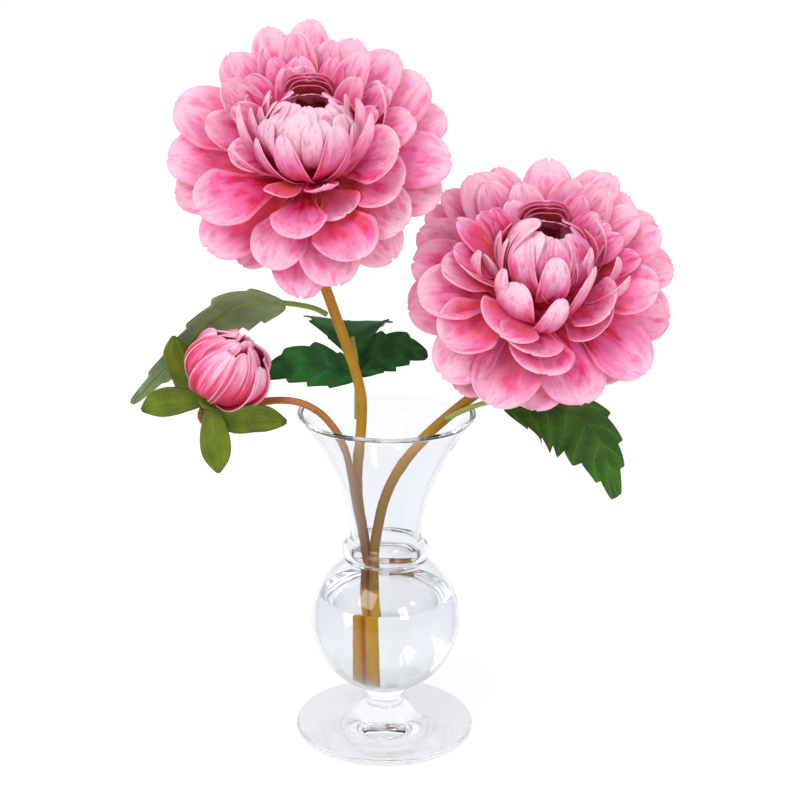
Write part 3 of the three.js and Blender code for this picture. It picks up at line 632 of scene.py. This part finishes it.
# How the petals of a layer stand: radius and height of the root, the share of the lift that raises it, how
# much lower it is at the back, bow, how much straighter a back petal is, cup and curl, and depth of colour
BACK_SHAPE = ((9, -2), 0.25, 2.5, 13.5, 22, (0.12, 0.38), (-1, 2), -0.04)
FRONT_SHAPE = ((10, 1.5), 0, 5, 8.5, 18, (0.28, 0.58), (-1.5, 1), 0)
INNER_SHAPE = ((11, 6), 0, 4, -4, 8, (0.15, 0.45), (-1, 1), 0.16)


def open_petals(bm, layer, rows, draw, shape):
    """A layer of open petals. Those at the back stand straighter and have their tips folded back."""
    (root_r, root_h), raised, lower, bow, straighter, cups, curls, depth = shape
    for azimuth, reach, width, lift in rows:
        behind = max(0, math.sin(math.radians(azimuth)))
        root = (root_r, root_h + lift * raised - lower * behind)
        petal(
            bm, layer, azimuth, root, tip_at(reach, lift), bow - straighter * behind, width,
            chance=draw.random(),
            ruffle=draw.uniform(0.4, 1.1),
            notch=draw.choice((0, 0, 0, 0.02)),
            swirl=draw.uniform(-4, 4),
            tilt=draw.uniform(-1.2, 1.2),
            skew=draw.uniform(-1.6, 1.6),
            roll=draw.uniform(0, 1.1),
            curl=draw.uniform(*curls) + draw.uniform(1, 6) * behind,
            cup=draw.uniform(*cups),
            depth=depth - 0.06 * behind,
        )


def collar_petals(bm, head, rows, draw):
    """Petals that lean against the head. The flat ones at the front start lower."""
    for azimuth, reach, width, lift in rows:
        root = (COLLAR_ROOT, COLLAR_HIGH if lift > COLLAR_FLAT else COLLAR_LOW)
        look = {"depth": -0.08, "outline": tongue_outline, "columns": 10, "rows": 16}
        look |= {"chance": draw.random(), "tilt": draw.uniform(-1, 1)}
        look |= {"curl": draw.uniform(-1, 2), "skew": draw.uniform(-1, 1)}
        petal(bm, head, azimuth, root, tip_at(reach, lift), bow=-18, width=width, cup=0.22, **look)


def tongue_petals(bm, head, rows, draw):
    """Upright petals close round the head. The broad ones are cut like the head's own."""
    for azimuth, swirl, root_r, root_h, tip_r, tip_h, bow, width, lean in rows:
        look = {"depth": -0.3, "ruffle": 0.4, "swirl": swirl, "tilt": lean, "rows": 18}
        look["outline"] = wrap_outline if width > 10 else tongue_outline
        look |= {"chance": draw.random(), "curl": draw.uniform(-1, 1.2), "skew": draw.uniform(-1, 1)}
        petal(bm, head, azimuth, (root_r, root_h), (tip_r, tip_h), bow, width, cup=0.2, **look)


def head_lining(bm, head, draw):
    """The petals that close the ball under those that show."""
    root, tip, bow = over_ball(LINING_RADIUS, BALL_HEIGHT, LINING_START, LINING_END, HEAD_SUNK)
    look = {"cup": -0.1, "depth": -0.3, "outline": wrap_outline, "columns": 10, "rows": 14}
    for i in range(LINING_COUNT):
        azimuth = 360 / LINING_COUNT * i + 10
        petal(bm, head, azimuth, root, tip, bow, LINING_WIDTH, chance=draw.random(), **look)


def head_petals(bm, head, rows, draw):
    """The petals that wrap the ball."""
    for azimuth, end, radius, width, start, swirl, depth in rows:
        look = {"depth": depth, "outline": wrap_outline, "ruffle": 0.4, "swirl": swirl}
        look |= {"columns": 12, "rows": 16, "chance": draw.random(), "tilt": draw.uniform(-0.7, 0.7)}
        look |= {"curl": draw.uniform(-1, 0.6), "roll": draw.uniform(-0.6, 0.4)}
        root, tip, bow = over_ball(radius, BALL_HEIGHT, start, end, HEAD_SUNK, draw.uniform(-0.9, 0.3))
        petal(bm, head, azimuth - swirl, root, tip, bow, width, cup=-0.08, **look)


def hood_petals(bm, head, draw):
    """The thin arches behind the head's opening."""
    for azimuth, root_r, tip_r, tip_h, width, depth in HOOD:
        look = {"depth": depth, "outline": wrap_outline, "ruffle": 0.1, "curl": -1.5}
        root, tip = (root_r, HOOD_FOOT), (tip_r, tip_h)
        petal(bm, head, azimuth, root, tip, HOOD_BOW, width, HOOD_CUP, draw.random(), **look)


def bloom(name, place, turn, layers, collar, tongues, wraps, seed):
    """A whole flower: the open layers with the collar, the closed head, and the heart under both."""
    draw = random.Random(seed)
    back, front = flower_frame(place, BACK_RISE, turn), flower_frame(place, FRONT_RISE, turn)
    head = flower_frame((place[0], place[1] - 4, place[2] - 1), HEAD_RISE, turn)
    bm = bmesh.new()
    for layer, rows, shape in zip((back, front, front), layers, (BACK_SHAPE, FRONT_SHAPE, INNER_SHAPE)):
        open_petals(bm, layer, rows, draw, shape)
    collar_petals(bm, head, collar, draw)
    thickened(finished(name + "_petals", bm, [silk], name), SILK)
    bm = bmesh.new()
    tongue_petals(bm, head, tongues, draw)
    head_lining(bm, head, draw)
    head_petals(bm, head, wraps, draw)
    hood_petals(bm, head, draw)
    thickened(finished(name + "_head", bm, [head_silk], name), SILK)
    bm = bmesh.new()
    turned(bm, HEART_HEAD, 40, standing(head))
    turned(bm, HEART_BACK, 40, standing(back))
    finished(name + "_heart", bm, [heart_cloth], name)


def thin_silk(finish, sockets, glow, share):
    """Ends a finish as thin cloth, through which a share of the light comes in the colour of the glow."""
    lit = finish.node("ShaderNodeBsdfPrincipled", {}, sockets)
    through = finish.node("ShaderNodeBsdfTranslucent", {}, {"Color": rgb(glow)})
    return finish.ends_in(finish.node("ShaderNodeMixShader", {}, {0: share, 1: lit, 2: through}))


def petal_finish(name, head_shade_and_gloss):
    """Printed silk: crimson claw, mottled pink middle, pale lip, and the cloth's fine weave. The head's
    cloth is smoother with less salmon in it, and its petals' sides are deeper: painted shade where they
    meet."""
    finish = Finish(name)
    across, along = finish.mark("across"), finish.mark("along")
    chance, depth = finish.mark("chance"), finish.mark("depth")
    streaks = finish.noise(finish.point(across * 2.2, along * 0.9, chance * 37), 2.2, 5.0, 0.62)
    hairs = finish.noise(finish.point(across * 11, along * 1.6, chance * 17), 2.2, 3.0)
    wash = finish.noise(finish.point(across * 1.1, along * 1.9, chance * 91), 1.9, 5.0, 0.6)
    weave = finish.noise(finish.place(), 2600.0, 1.0)
    tone = along + (streaks - 0.5) * 0.42 + (wash - 0.5) * 1.35 + (hairs - 0.5) * 0.14 - depth
    # Painted shade: on the head the sides of each petal are darker, where they meet the neighbouring petals.
    tone = tone + ((chance * 5.1).math("FRACT") - 0.5) * 0.14 - abs(across).ramp(0.35, 1.0) * head_shade_and_gloss
    base = tone.colours(
        (0.1, 0x98021C), (0.26, 0xC80E3E), (0.4, 0xE23A70), (0.53, 0xEC5C9C), (0.68, 0xF48AC0),
        (0.85, 0xFABEE0), (1.0, 0xFEE2F1),
    )
    warm = (chance * 7.3).math("FRACT").ramp(0.2, 0.85) * (1 - along.ramp(0.4, 0.95)) * (0.66 - 3 * head_shade_and_gloss)
    salmon = finish.mix(base, rgb(0xF0706E), warm)
    orchid = wash.ramp(0.5, 0.64) * along.ramp(0.25, 0.55) * (1 - along.ramp(0.85, 1.0)) * 0.6
    streaked = finish.mix(salmon, rgb(0xDC40A2), orchid)
    lip = abs(across).ramp(0.82, 1.02).math("MAXIMUM", along.ramp(0.95, 1.01)) * 0.5
    lipped = finish.mix(streaked, rgb(0xFFC8E0), lip)
    cloth = {
        "Base Color": finish.mix(lipped, rgb(0xFFF0F6), (weave - 0.5) * 0.3 + 0.01),
        "Roughness": 0.7 - head_shade_and_gloss + (weave - 0.5) * 0.3,
        "Specular IOR Level": 0.1 + 2 * head_shade_and_gloss,
        "Normal": finish.bump(hairs * 0.5 + streaks * 0.3 + weave * 0.2, 0.5, 0.0005),
    }
    return thin_silk(finish, cloth, 0xFF6CAC, 0.33)


def heart_finish(name, dark, light):
    """Plain crumpled cloth."""
    finish = Finish(name)
    folds = finish.noise(finish.place(), 420.0, 3.0)
    sockets = {
        "Base Color": folds.colours((0.3, dark), (0.7, light)),
        "Roughness": 0.8,
        "Specular IOR Level": 0.15,
        "Normal": finish.bump(folds, 0.6, 0.0006),
    }
    return finish.surface(sockets)


TALL_PLACE, TALL_TURN = (-33, -4, 262.6), -2
RIGHT_PLACE, RIGHT_TURN = (67.1, -2, 209.6), 6
silk = petal_finish("printed_silk", 0)
head_silk = petal_finish("head_silk", 0.15)
heart_cloth = heart_finish("dark_heart", 0x9C0E2E, 0xCC2A50)
tall_layers = (TALL_BACK, TALL_FRONT, TALL_INNER)
right_layers = (RIGHT_BACK, RIGHT_FRONT, RIGHT_INNER)
bloom("bloom_tall", TALL_PLACE, TALL_TURN, tall_layers, TALL_COLLAR, TALL_TONGUES, TALL_HEAD, 11)
bloom("bloom_right", RIGHT_PLACE, RIGHT_TURN, right_layers, RIGHT_COLLAR, RIGHT_TONGUES, RIGHT_HEAD, 23)


# Under each open flower a small green cup of stiff cloth takes the end of the stem, which is glued in. Five
# short bracts, cut from the same cloth, are spread between the cup and the petals.
CALYX_TOP = -7.35
CALYX_BRACT, CALYX_CLOTH = 9, 0.6
# A cup's outline: radius, and how far below the cup's top
CALYX_CUP = [(0, 0), (8.6, 0), (9.4, 0.4), (9.3, 1.2), (8, 3), (5.8, 4.8), (4.2, 5.6), (3.4, 5.95), (0, 6)]


def bract_finish(name, dark, light):
    """Stiff olive cloth with fine lengthwise veins, browned at the very tip."""
    finish = Finish(name)
    across, along = finish.mark("across"), finish.mark("along")
    veins = finish.noise(finish.point(across * 6, along * 0.8, finish.mark("chance") * 31), 2.5, 3.0)
    patches = finish.noise(finish.place(), 130.0, 3.0)
    weave = finish.noise(finish.place(), 2400.0, 1.0)
    base = (veins * 0.5 + patches * 0.5).colours((0.3, dark), (0.68, light))
    rib = finish.mix(base, rgb(0x93A02C), (1 - abs(across).ramp(0.02, 0.12)) * 0.08)
    tipped = finish.mix(rib, rgb(0x4C3F12), along.ramp(0.93, 1.0) * 0.6)
    sockets = {
        "Base Color": finish.mix(tipped, rgb(0xD8DCA0), (weave - 0.5) * 0.25 + 0.01),
        "Roughness": 0.62 + (weave - 0.5) * 0.3,
        "Specular IOR Level": 0.25,
        "Normal": finish.bump(veins * 0.7 + weave * 0.3, 0.5, 0.0005),
    }
    return finish.surface(sockets)


olive = bract_finish("olive_bract", 0x3C4E00, 0x6A7C08)


def green_cup(name, node, layer, top, outline, steps):
    """A turned cup that hangs from its top, which is so high on the layer's axis."""
    bm = bmesh.new()
    turned(bm, [(r, top - down) for r, down in outline], steps, standing(layer))
    finished(name, bm, [olive], node)


def calyx(name, place, turn, seed):
    """The cup and its bracts, square to the flower's back layer."""
    draw = random.Random(seed)
    layer = flower_frame(place, BACK_RISE, turn)
    root, tip = (6, CALYX_TOP - 2), (22, CALYX_TOP - 3.4)
    look = {"bow": 8, "width": CALYX_BRACT, "cup": -0.15, "ruffle": 0.3, "rounded": 0.2}
    bm = bmesh.new()
    for i in range(5):
        petal(bm, layer, 72 * i + 18, root, tip, chance=draw.random(), **look)
    thickened(finished(name + "_bracts", bm, [olive], name), CALYX_CLOTH)
    green_cup(name + "_cup", name, layer, CALYX_TOP, CALYX_CUP, 32)


calyx("calyx_tall", TALL_PLACE, TALL_TURN, 5)
calyx("calyx_right", RIGHT_PLACE, RIGHT_TURN, 6)


# The bud is a ball of foam under long strips of the same silk. Each strip laps over the next one, turns a
# little round the axis on its way up, and they close in a small whorl at the top.
BUD_PLACE, BUD_AXIS = (-70.3, -6, 174.8), (0.49, -0.21, 0.846)
BUD_RADIUS, BUD_CORE = 16.9, 15.2
STRIP_WIDTH, BUD_SILK = 16.4, 0.6
# The whorl's strips: polar angle of the tip, radius and width
WHORL = [(168, 15.6, 10), (166, 15.9, 10), (170, 15.4, 9), (167, 15.7, 10)]


def strip_outline(along):
    """A strip of the bud: narrow at its foot, widest past its middle, and round at its tip."""
    return widening(along, 0.34) * tip_round(along, 0.6, 0.403, 2.3, 0.48)


def bud_finish(name):
    """Silk strips: crimson at the foot, and pale along the crest and the lip."""
    finish = Finish(name)
    across, along = finish.mark("across"), finish.mark("along")
    chance, depth = finish.mark("chance"), finish.mark("depth")
    streaks = finish.noise(finish.point(across * 2.0, along * 0.7, chance * 37), 2.4, 4.0, 0.6)
    hairs = finish.noise(finish.point(across * 9, along * 1.2, chance * 17), 2.4, 3.0)
    weave = finish.noise(finish.place(), 2600.0, 1.0)
    crest = 1 - abs(across + 0.1).ramp(0.1, 0.75)
    tone = along * 1.02 + crest * 0.14 + (streaks - 0.5) * 1.1 + (hairs - 0.5) * 0.2 - depth - 0.25
    base = tone.colours(
        (0.08, 0xB4103A), (0.24, 0xD82C5C), (0.4, 0xEE5C8A), (0.56, 0xF68AB0), (0.74, 0xFCC0D9),
        (0.95, 0xFEDFEE),
    )
    lip = finish.mix(base, rgb(0xFBD5E7), abs(across).ramp(0.88, 1.0) * 0.45)
    cloth = {
        "Base Color": finish.mix(lip, rgb(0xFFF0F6), (weave - 0.5) * 0.35 + 0.02),
        "Roughness": 0.62 + (weave - 0.5) * 0.3,
        "Specular IOR Level": 0.2,
        "Normal": finish.bump(hairs * 0.5 + streaks * 0.3 + weave * 0.2, 0.5, 0.0005),
    }
    return thin_silk(finish, cloth, 0xEE6C9C, 0.15)


bud_silk = bud_finish("bud_silk")
bud_layer = frame_along(BUD_PLACE, BUD_AXIS)
draw = random.Random(7)
bm = bmesh.new()
for i in range(9):
    under = i % 2
    look = {"chance": draw.random(), "curl": draw.uniform(-0.8, 0.2), "depth": draw.uniform(-0.1, 0.12)}
    look |= {"outline": strip_outline, "ruffle": 0.25, "tilt": 0.9, "swirl": 10, "roll": 0.5}
    end = (156 if under else 138) + draw.uniform(-7, 7)
    root, tip, bow = over_ball(BUD_RADIUS - 0.5 * under, 0, 20, end, 1.7, 0.2)
    petal(bm, bud_layer, 40 * i, root, tip, bow, STRIP_WIDTH - under, cup=-0.08, **look)
for i, (end, radius, width) in enumerate(WHORL):
    look = {"chance": draw.random(), "outline": strip_outline, "tilt": 1.2, "swirl": 20}
    root, tip, bow = over_ball(radius, 0, 80, end, 0.5, -0.6)
    petal(bm, bud_layer, 90 * i + 35, root, tip, bow, width, cup=-0.05, **look)
for i in range(3):
    look = {"chance": draw.random(), "depth": -0.05 * i, "outline": strip_outline}
    root, tip = (4.2, 12), (2.2 - 0.4 * i, 17.8)
    petal(bm, bud_layer, 120 * i + 60, root, tip, bow=-16, width=6.5, cup=-0.25, **look)
thickened(finished("bud_strips", bm, [bud_silk], "bud"), BUD_SILK)
bm = bmesh.new()
core = [(0, -BUD_CORE), *arc(BUD_CORE, 0, 0, -88, 60, 26), (5, 13.6), (0, 13.6)]
turned(bm, core, 40, standing(bud_layer))
finished("bud_heart", bm, [heart_cloth], "bud")


# The bud's bracts are spoons of stiff cloth on a small green cup. They are bent back, away from the bud: one
# down, one to the left, one up on the left, one to the right, and two short ones behind.
BRACT_HALF, BRACT_CLOTH = 6.75, 0.7
BUD_CUP = [(0, 0), (5.3, 0), (5.5, 0.5), (5, 1.6), (3.6, 3), (2.6, 3.7), (0, 3.7)]
# Each bract: its rib from the cup out, and the direction of its width
BRACTS = [
    ([(-78.4, -4, 158.4), (-76.6, -9, 151), (-75.5, -11, 141), (-74.4, -12, 129)], (1, 0, 0)),
    ([(-80.8, -3, 159.4), (-90, -6.5, 160.6), (-99, -8.5, 160), (-108, -9, 156.8)], (0, 0, 1)),
    ([(-81.2, -1, 160), (-88, 6, 164.5), (-93, 7, 175), (-94.8, 3, 187.4)], (1, 0, 0.3)),
    ([(-77.5, -3.4, 158), (-69.5, -6, 151.4), (-58, -7, 153.2), (-44.3, -7, 151.5)], (0, -0.1, 1)),
    ([(-79.6, 0, 158.7), (-78.6, 9.5, 159.5), (-74, 16, 163), (-69, 19.5, 169)], (1, 0, 0)),
    ([(-81.3, -0.6, 159.6), (-88, 6, 160.6), (-93, 10.5, 163.5), (-97, 13, 168)], (0.4, -0.6, 1)),
]


def bract_width(along, out):
    """The share of the bract's half width, and how far its edge leans to the tip."""
    spoon = 0.3 + 0.7 * math.sin(math.pi * along**1.25) ** 0.8 + 0.06 * along**4
    return spoon * math.sqrt(max(0.05, 1 - max(0, (along - 0.72) / 0.285) ** 2)), 0


def bract_relief(wobble):
    """How far a bract's face stands out: its sides fold up, and it waves a little."""

    def relief(along, across):
        fold = 0.9 * (abs(across) ** 1.4 - 0.3) * math.sin(math.pi * along)
        wave = 0.25 * math.sin(across * 9 + wobble) * along
        return fold + wave + 0.4 * math.sin(along * 6 + wobble) * across

    return relief


def leaf_blade(bm, rib, sides, half, width_at, relief, chance, columns, rows):
    """A blade along its rib. Each half spreads in its own direction, square to the rib. width_at gives the
    share of the half's width and how far its edge leans to the tip, and relief how far it stands out."""
    values = marks(bm, "across", "along", "chance")
    route = Route(rib)
    made = bmesh.ops.create_grid(bm, x_segments=2 * columns, y_segments=rows, size=1.0)
    for vertex in made["verts"]:
        across, along = vertex.co.x, (vertex.co.y + 1) / 2
        tangent = route.direction(along)
        near, far = [(s - tangent * s.dot(tangent)).normalized() for s in map(Vector, sides)]
        face = tangent.cross(far - near).normalized()
        share, lean = width_at(along, abs(across))
        spread = (near if across < 0 else far) * (half[0 if across < 0 else 1] * share * abs(across))
        vertex.co = route.at(along) + spread + tangent * lean + face * relief(along, across)
        for mark, value in zip(values, (across, along, chance)):
            vertex[mark] = value


draw = random.Random(9)
bm = bmesh.new()
for rib, side in BRACTS:
    relief = bract_relief(draw.uniform(0, 6))
    sides, half = (-Vector(side), Vector(side)), (BRACT_HALF, BRACT_HALF)
    leaf_blade(bm, rib, sides, half, bract_width, relief, draw.random(), columns=8, rows=26)
thickened(finished("bud_bract_blades", bm, [olive], "bud_bracts"), BRACT_CLOTH)
green_cup("bud_bract_cup", "bud_bracts", bud_layer, -BUD_RADIUS - 1, BUD_CUP, 28)


# The leaves are pressed and printed cloth with a plastic rib behind. Their edges are toothed, and a vein
# runs from the rib to each tooth. The upper face is dark and glossy, and the underside dull and pale.
LEAF_CLOTH = 0.6
STALK_RADIUS = 1.2
# Where a tooth's point lies between its two notches, as a share of the tooth, and how much nearer to the
# leaf's foot its vein starts, as a share of the leaf
TOOTH_POINT, VEIN_SLANT = 0.78, 0.16
ARCHING_RIB = [
    (-46, 10.8, 201.2), (-61.7, 15, 200), (-70.5, 17, 196.6), (-77.9, 18, 191.2), (-91.9, 19, 177.7),
    (-104.4, 18, 165.1), (-116.9, 16, 152.3),
]
ARCHING_STALK = [(-26.9, 5.2, 197.6), (-31.8, 7, 199.6), (-39, 9, 200.8), (-50.3, 12, 201.3)]
# Each leaflet: its rib, the directions and the widths of its two halves, how many teeth a side has, and a
# power that is less than 1 where the leaflet is widest near its foot
LEAFLETS = [
    ([(-13.8, 8.4, 168), (-23.6, 11, 170.4), (-35, 14, 172.2), (-46.5, 17, 170.3), (-57.3, 20, 164.6)],
     ((-0.1, -0.31, -0.94), (-0.13, 0.49, 0.87)), (10.5, 10.5), 4, 0.8),
    ([(-13.2, 8.8, 169), (-5.7, 13, 176.1), (1.9, 17, 178.3), (9.2, 21, 177.8), (18.4, 25, 173.5)],
     ((0.1, 0.55, 0.82), (0.3, -0.35, -0.85)), (10, 10), 4, 0.8),
    ([(-14.3, 11, 177), (-16, 17, 184), (-17.9, 28, 188.3), (-18.8, 42, 183.8), (-19.6, 54, 176.2)],
     ((-1, -0.05, 0.13), (1, -0.05, 0.02)), (21, 21), 5, 1.1),
]
COMPOUND_STALK = [
    (-13.6, 6.4, 149), (-13.6, 6.8, 157.6), (-13.7, 7.9, 166), (-14.2, 10.6, 175.5), (-16, 17, 184),
]
RIGHT_RIB = [
    (51.5, -2, 160.6), (70.2, -2, 160.4), (82.7, -4, 155.6), (90.2, -7, 149.2), (96.9, -11, 137.5),
    (102.8, -13, 119.9),
]
RIGHT_STALK = [(26.2, -0.3, 151.4), (35.3, -0.8, 156.2), (45.8, -1.6, 160), (60, -2, 160.9)]


def vein_count(along, out, teeth):
    """A whole number on each side vein, and a part of one between them, for plain numbers and for Values."""
    return along * teeth - TOOTH_POINT + (1 - out) * VEIN_SLANT * teeth


def leaf_finish(name, dark, light, vein, teeth, gloss, dull):
    """A toothed leaf's print: a side vein to each tooth, a net of fine ones between, and mottled green."""
    finish = Finish(name)
    across, along = finish.mark("across"), finish.mark("along")
    out = abs(across)
    off = abs(vein_count(along, out, teeth).math("FRACT") - 0.5)
    side_vein = off.ramp(0.44, 0.5) * (1 - out.ramp(0.75, 1.0))
    lines = side_vein.math("MAXIMUM", 1 - out.ramp(0.015, 0.07))
    edges = {"Vector": finish.place(), "Scale": 520.0}
    net = finish.node("ShaderNodeTexVoronoi", {"feature": "DISTANCE_TO_EDGE"}, edges)
    fine = 1 - net.ramp(0.0, 0.09)
    patches = finish.noise(finish.place(), 110.0, 4.0)
    weave = finish.noise(finish.place(), 2200.0, 1.0)
    base = (patches * 0.8 + off * 0.3).colours((0.32, dark), (0.72, light))
    netted = finish.mix(base, rgb(vein), fine * 0.12)
    veined = finish.mix(netted, rgb(vein), lines * 0.3)
    sockets = {
        "Base Color": finish.mix(veined, rgb(0xE8F0D8), (weave - 0.5) * dull + dull * 0.1),
        "Roughness": gloss + (weave - 0.5) * 0.2 + patches * 0.1,
        "Specular IOR Level": 0.18,
        "Normal": finish.bump(fine * 0.25 + weave * 0.3 - lines * 0.6, 0.5, 0.0005),
    }
    return finish.surface(sockets)


def toothed(half, teeth, swell):
    """The width of a toothed blade. Each tooth rises slowly to its point and falls fast behind it."""

    def width_at(along, out):
        spot = (along * teeth) % 1
        point = spot / TOOTH_POINT if spot < TOOTH_POINT else (1 - spot) / (1 - TOOTH_POINT)
        body = math.sin(math.pi * (0.04 + 0.94 * min(along, 1) ** swell)) ** 0.85
        return body * (1 - 0.2 * (1 - point) * out**3), 0.12 * half * point * out**4

    return width_at


def quilted(teeth):
    """The relief of a blade, which is cushioned between its side veins and waves along its edge."""

    def relief(along, across):
        out = abs(across)
        cushion = abs(math.sin(math.pi * vein_count(along, out, teeth))) * out * (1 - out) * 4
        return 0.45 * cushion + 0.3 * math.sin(along * 11 + 3 * across) * out**2

    return relief


def leaf(name, blades, stalk_points, faces, stalk_finish, rib_finish, rib_size):
    """A leaf of one or more toothed blades on a stalk, with the rib standing out behind each blade."""
    bm = bmesh.new()
    ribs = bmesh.new()
    for number, (rib, sides, half, teeth, swell) in enumerate(blades):
        width_at, relief = toothed(half[0], teeth, swell), quilted(teeth)
        leaf_blade(bm, rib, sides, half, width_at, relief, number * 0.37, columns=10, rows=teeth * 12)
        tube(ribs, Route(rib), lambda share: rib_size - 0.6 * share, sides=10, stations=50)
    cloth = thickened(finished(name + "_blades", bm, faces, name), LEAF_CLOTH)
    cloth.material_offset = 1
    finished(name + "_ribs", ribs, [rib_finish], name)
    stalk = bmesh.new()
    tube(stalk, Route(stalk_points), lambda share: STALK_RADIUS, sides=14, stations=36)
    finished(name + "_stalk", stalk, [stalk_finish], name)


dark_face = leaf_finish("dark_leaf_face", 0x0C400E, 0x1C6E24, 0x3C7844, 4, 0.5, 0.05)
green_face = leaf_finish("green_leaf_face", 0x1E4404, 0x3A6C0C, 0x64903C, 7, 0.45, 0.04)
dull_back = leaf_finish("dull_leaf_back", 0x6F8450, 0x90A474, 0x67793C, 6, 0.62, 0.3)
pale_stalk = stem_finish("pale_stalk", 0x6E8A34, 0x9DB360)
olive_stalk = stem_finish("olive_stalk", 0x55701C, 0x7C9440)
green, dark = [green_face, dull_back], [dark_face, dull_back]
arching = (ARCHING_RIB, ((0, -0.64, 0.77), (-0.1, 0.57, -0.82)), (12.5, 18.5), 6, 0.72)
leaf("leaf_arching", [arching], ARCHING_STALK, green, olive_stalk, olive_stalk, 1.2)
leaf("leaf_compound", LEAFLETS, COMPOUND_STALK, dark, pale_stalk, dark_face, 0.85)
right = (RIGHT_RIB, ((0.78, 0.62, 0.05), (-0.1, -0.5, -0.86)), (17.5, 21), 7, 0.8)
leaf("leaf_right", [right], RIGHT_STALK, green, pale_stalk, green_face, 0.85)


# The studio is a white floor that runs out to the horizon, a bright tent round it with darker sides, which
# draw the edges of the glass, and two soft windows in front.
bpy.ops.mesh.primitive_plane_add(size=60)
floor = bpy.context.active_object
floor.name = "studio_floor"
floor.location.z = -0.3 * MM
paper = Finish("white_paper")
sheet = {
    "Base Color": paper.noise(paper.place(), 260.0, 2.0).colours((0.3, 0xB4B4B5), (0.7, 0xB9B9B9)),
    "Roughness": 0.9,
    "Specular IOR Level": 0.0,
    "Emission Color": (1, 1, 1, 1),
    "Emission Strength": 0.58,
}
floor.data.materials.append(paper.surface(sheet))

tent = Finish("studio_tent", bpy.data.worlds)
bpy.context.scene.world = tent.owner
towards = tent.node("ShaderNodeTexCoord", {}, {}, "Generated")
split = tent.node("ShaderNodeSeparateXYZ", {}, {"Vector": towards})
sideways, backwards, upwards = [Value(tent, split.node, axis) for axis in "XYZ"]
level_band = 1 - abs(upwards - 0.1).ramp(0.25, 0.6)
dark_side = abs(sideways).ramp(0.6, 0.95) * level_band * upwards.ramp(0.09, 0.2) * 0.95
dark_front = (0 - backwards).ramp(0.2, 0.8) * (1 - upwards.ramp(0.35, 0.7))
sky = dark_side.math("MAXIMUM", dark_front).colours((0.0, 0xFFFFFF), (1.0, 0x9EA0AC))
shown = tent.node("ShaderNodeBackground", {}, {"Color": sky, "Strength": 1.0})
tent.ends_in(shown, "ShaderNodeOutputWorld")


def window(name, place, target, size, power):
    """A soft window of light that looks at a point."""
    light = bpy.data.lights.new(name, "AREA")
    light.shape = "RECTANGLE"
    light.size, light.size_y = size
    light.energy = power
    lamp = bpy.data.objects.new(name, light)
    bpy.context.scene.collection.objects.link(lamp)
    lamp.location = place
    lamp.rotation_euler = (Vector(target) - Vector(place)).to_track_quat("-Z", "Y").to_euler()


window("key_window", place=(-0.9, -1.1, 1.5), target=(0, 0, 0.2), size=(0.9, 0.9), power=17)
window("fill_window", place=(0.75, -1.2, 0.75), target=(0, 0, 0.12), size=(0.35, 0.5), power=5)


# The camera stands where the photo was taken from: 70 cm in front of the vase and above its rim. It looks 17
# degrees down, and is tipped to one side by half a degree.
CAMERA_PLACE = (0.0058, -0.7, 0.3764)
PITCH, ROLL = math.radians(17.18), math.radians(0.6)
SENSOR_MM, PICTURE_PIXELS, FOCAL_PIXELS = 36, 800, 1645
level = Vector((1, 0, 0))
upright = Vector((0, math.sin(PITCH), math.cos(PITCH)))
backward = Vector((0, -math.cos(PITCH), math.sin(PITCH)))
rightward = level * math.cos(ROLL) + upright * math.sin(ROLL)
upward = upright * math.cos(ROLL) - level * math.sin(ROLL)
camera = bpy.data.objects.new("camera", bpy.data.cameras.new("camera"))
camera.data.sensor_width = SENSOR_MM
camera.data.lens = FOCAL_PIXELS * SENSOR_MM / PICTURE_PIXELS
camera.data.clip_end = 100
camera.matrix_world = standing((CAMERA_PLACE, rightward, upward, backward))
bpy.context.scene.collection.objects.link(camera)
bpy.context.scene.camera = camera
bpy.context.scene.view_settings.view_transform = "Standard"
# Light has to pass many faces of glass and water before it gets out again
cycles = bpy.context.scene.cycles
cycles.max_bounces = 32
cycles.transmission_bounces = 32
cycles.glossy_bounces = 32
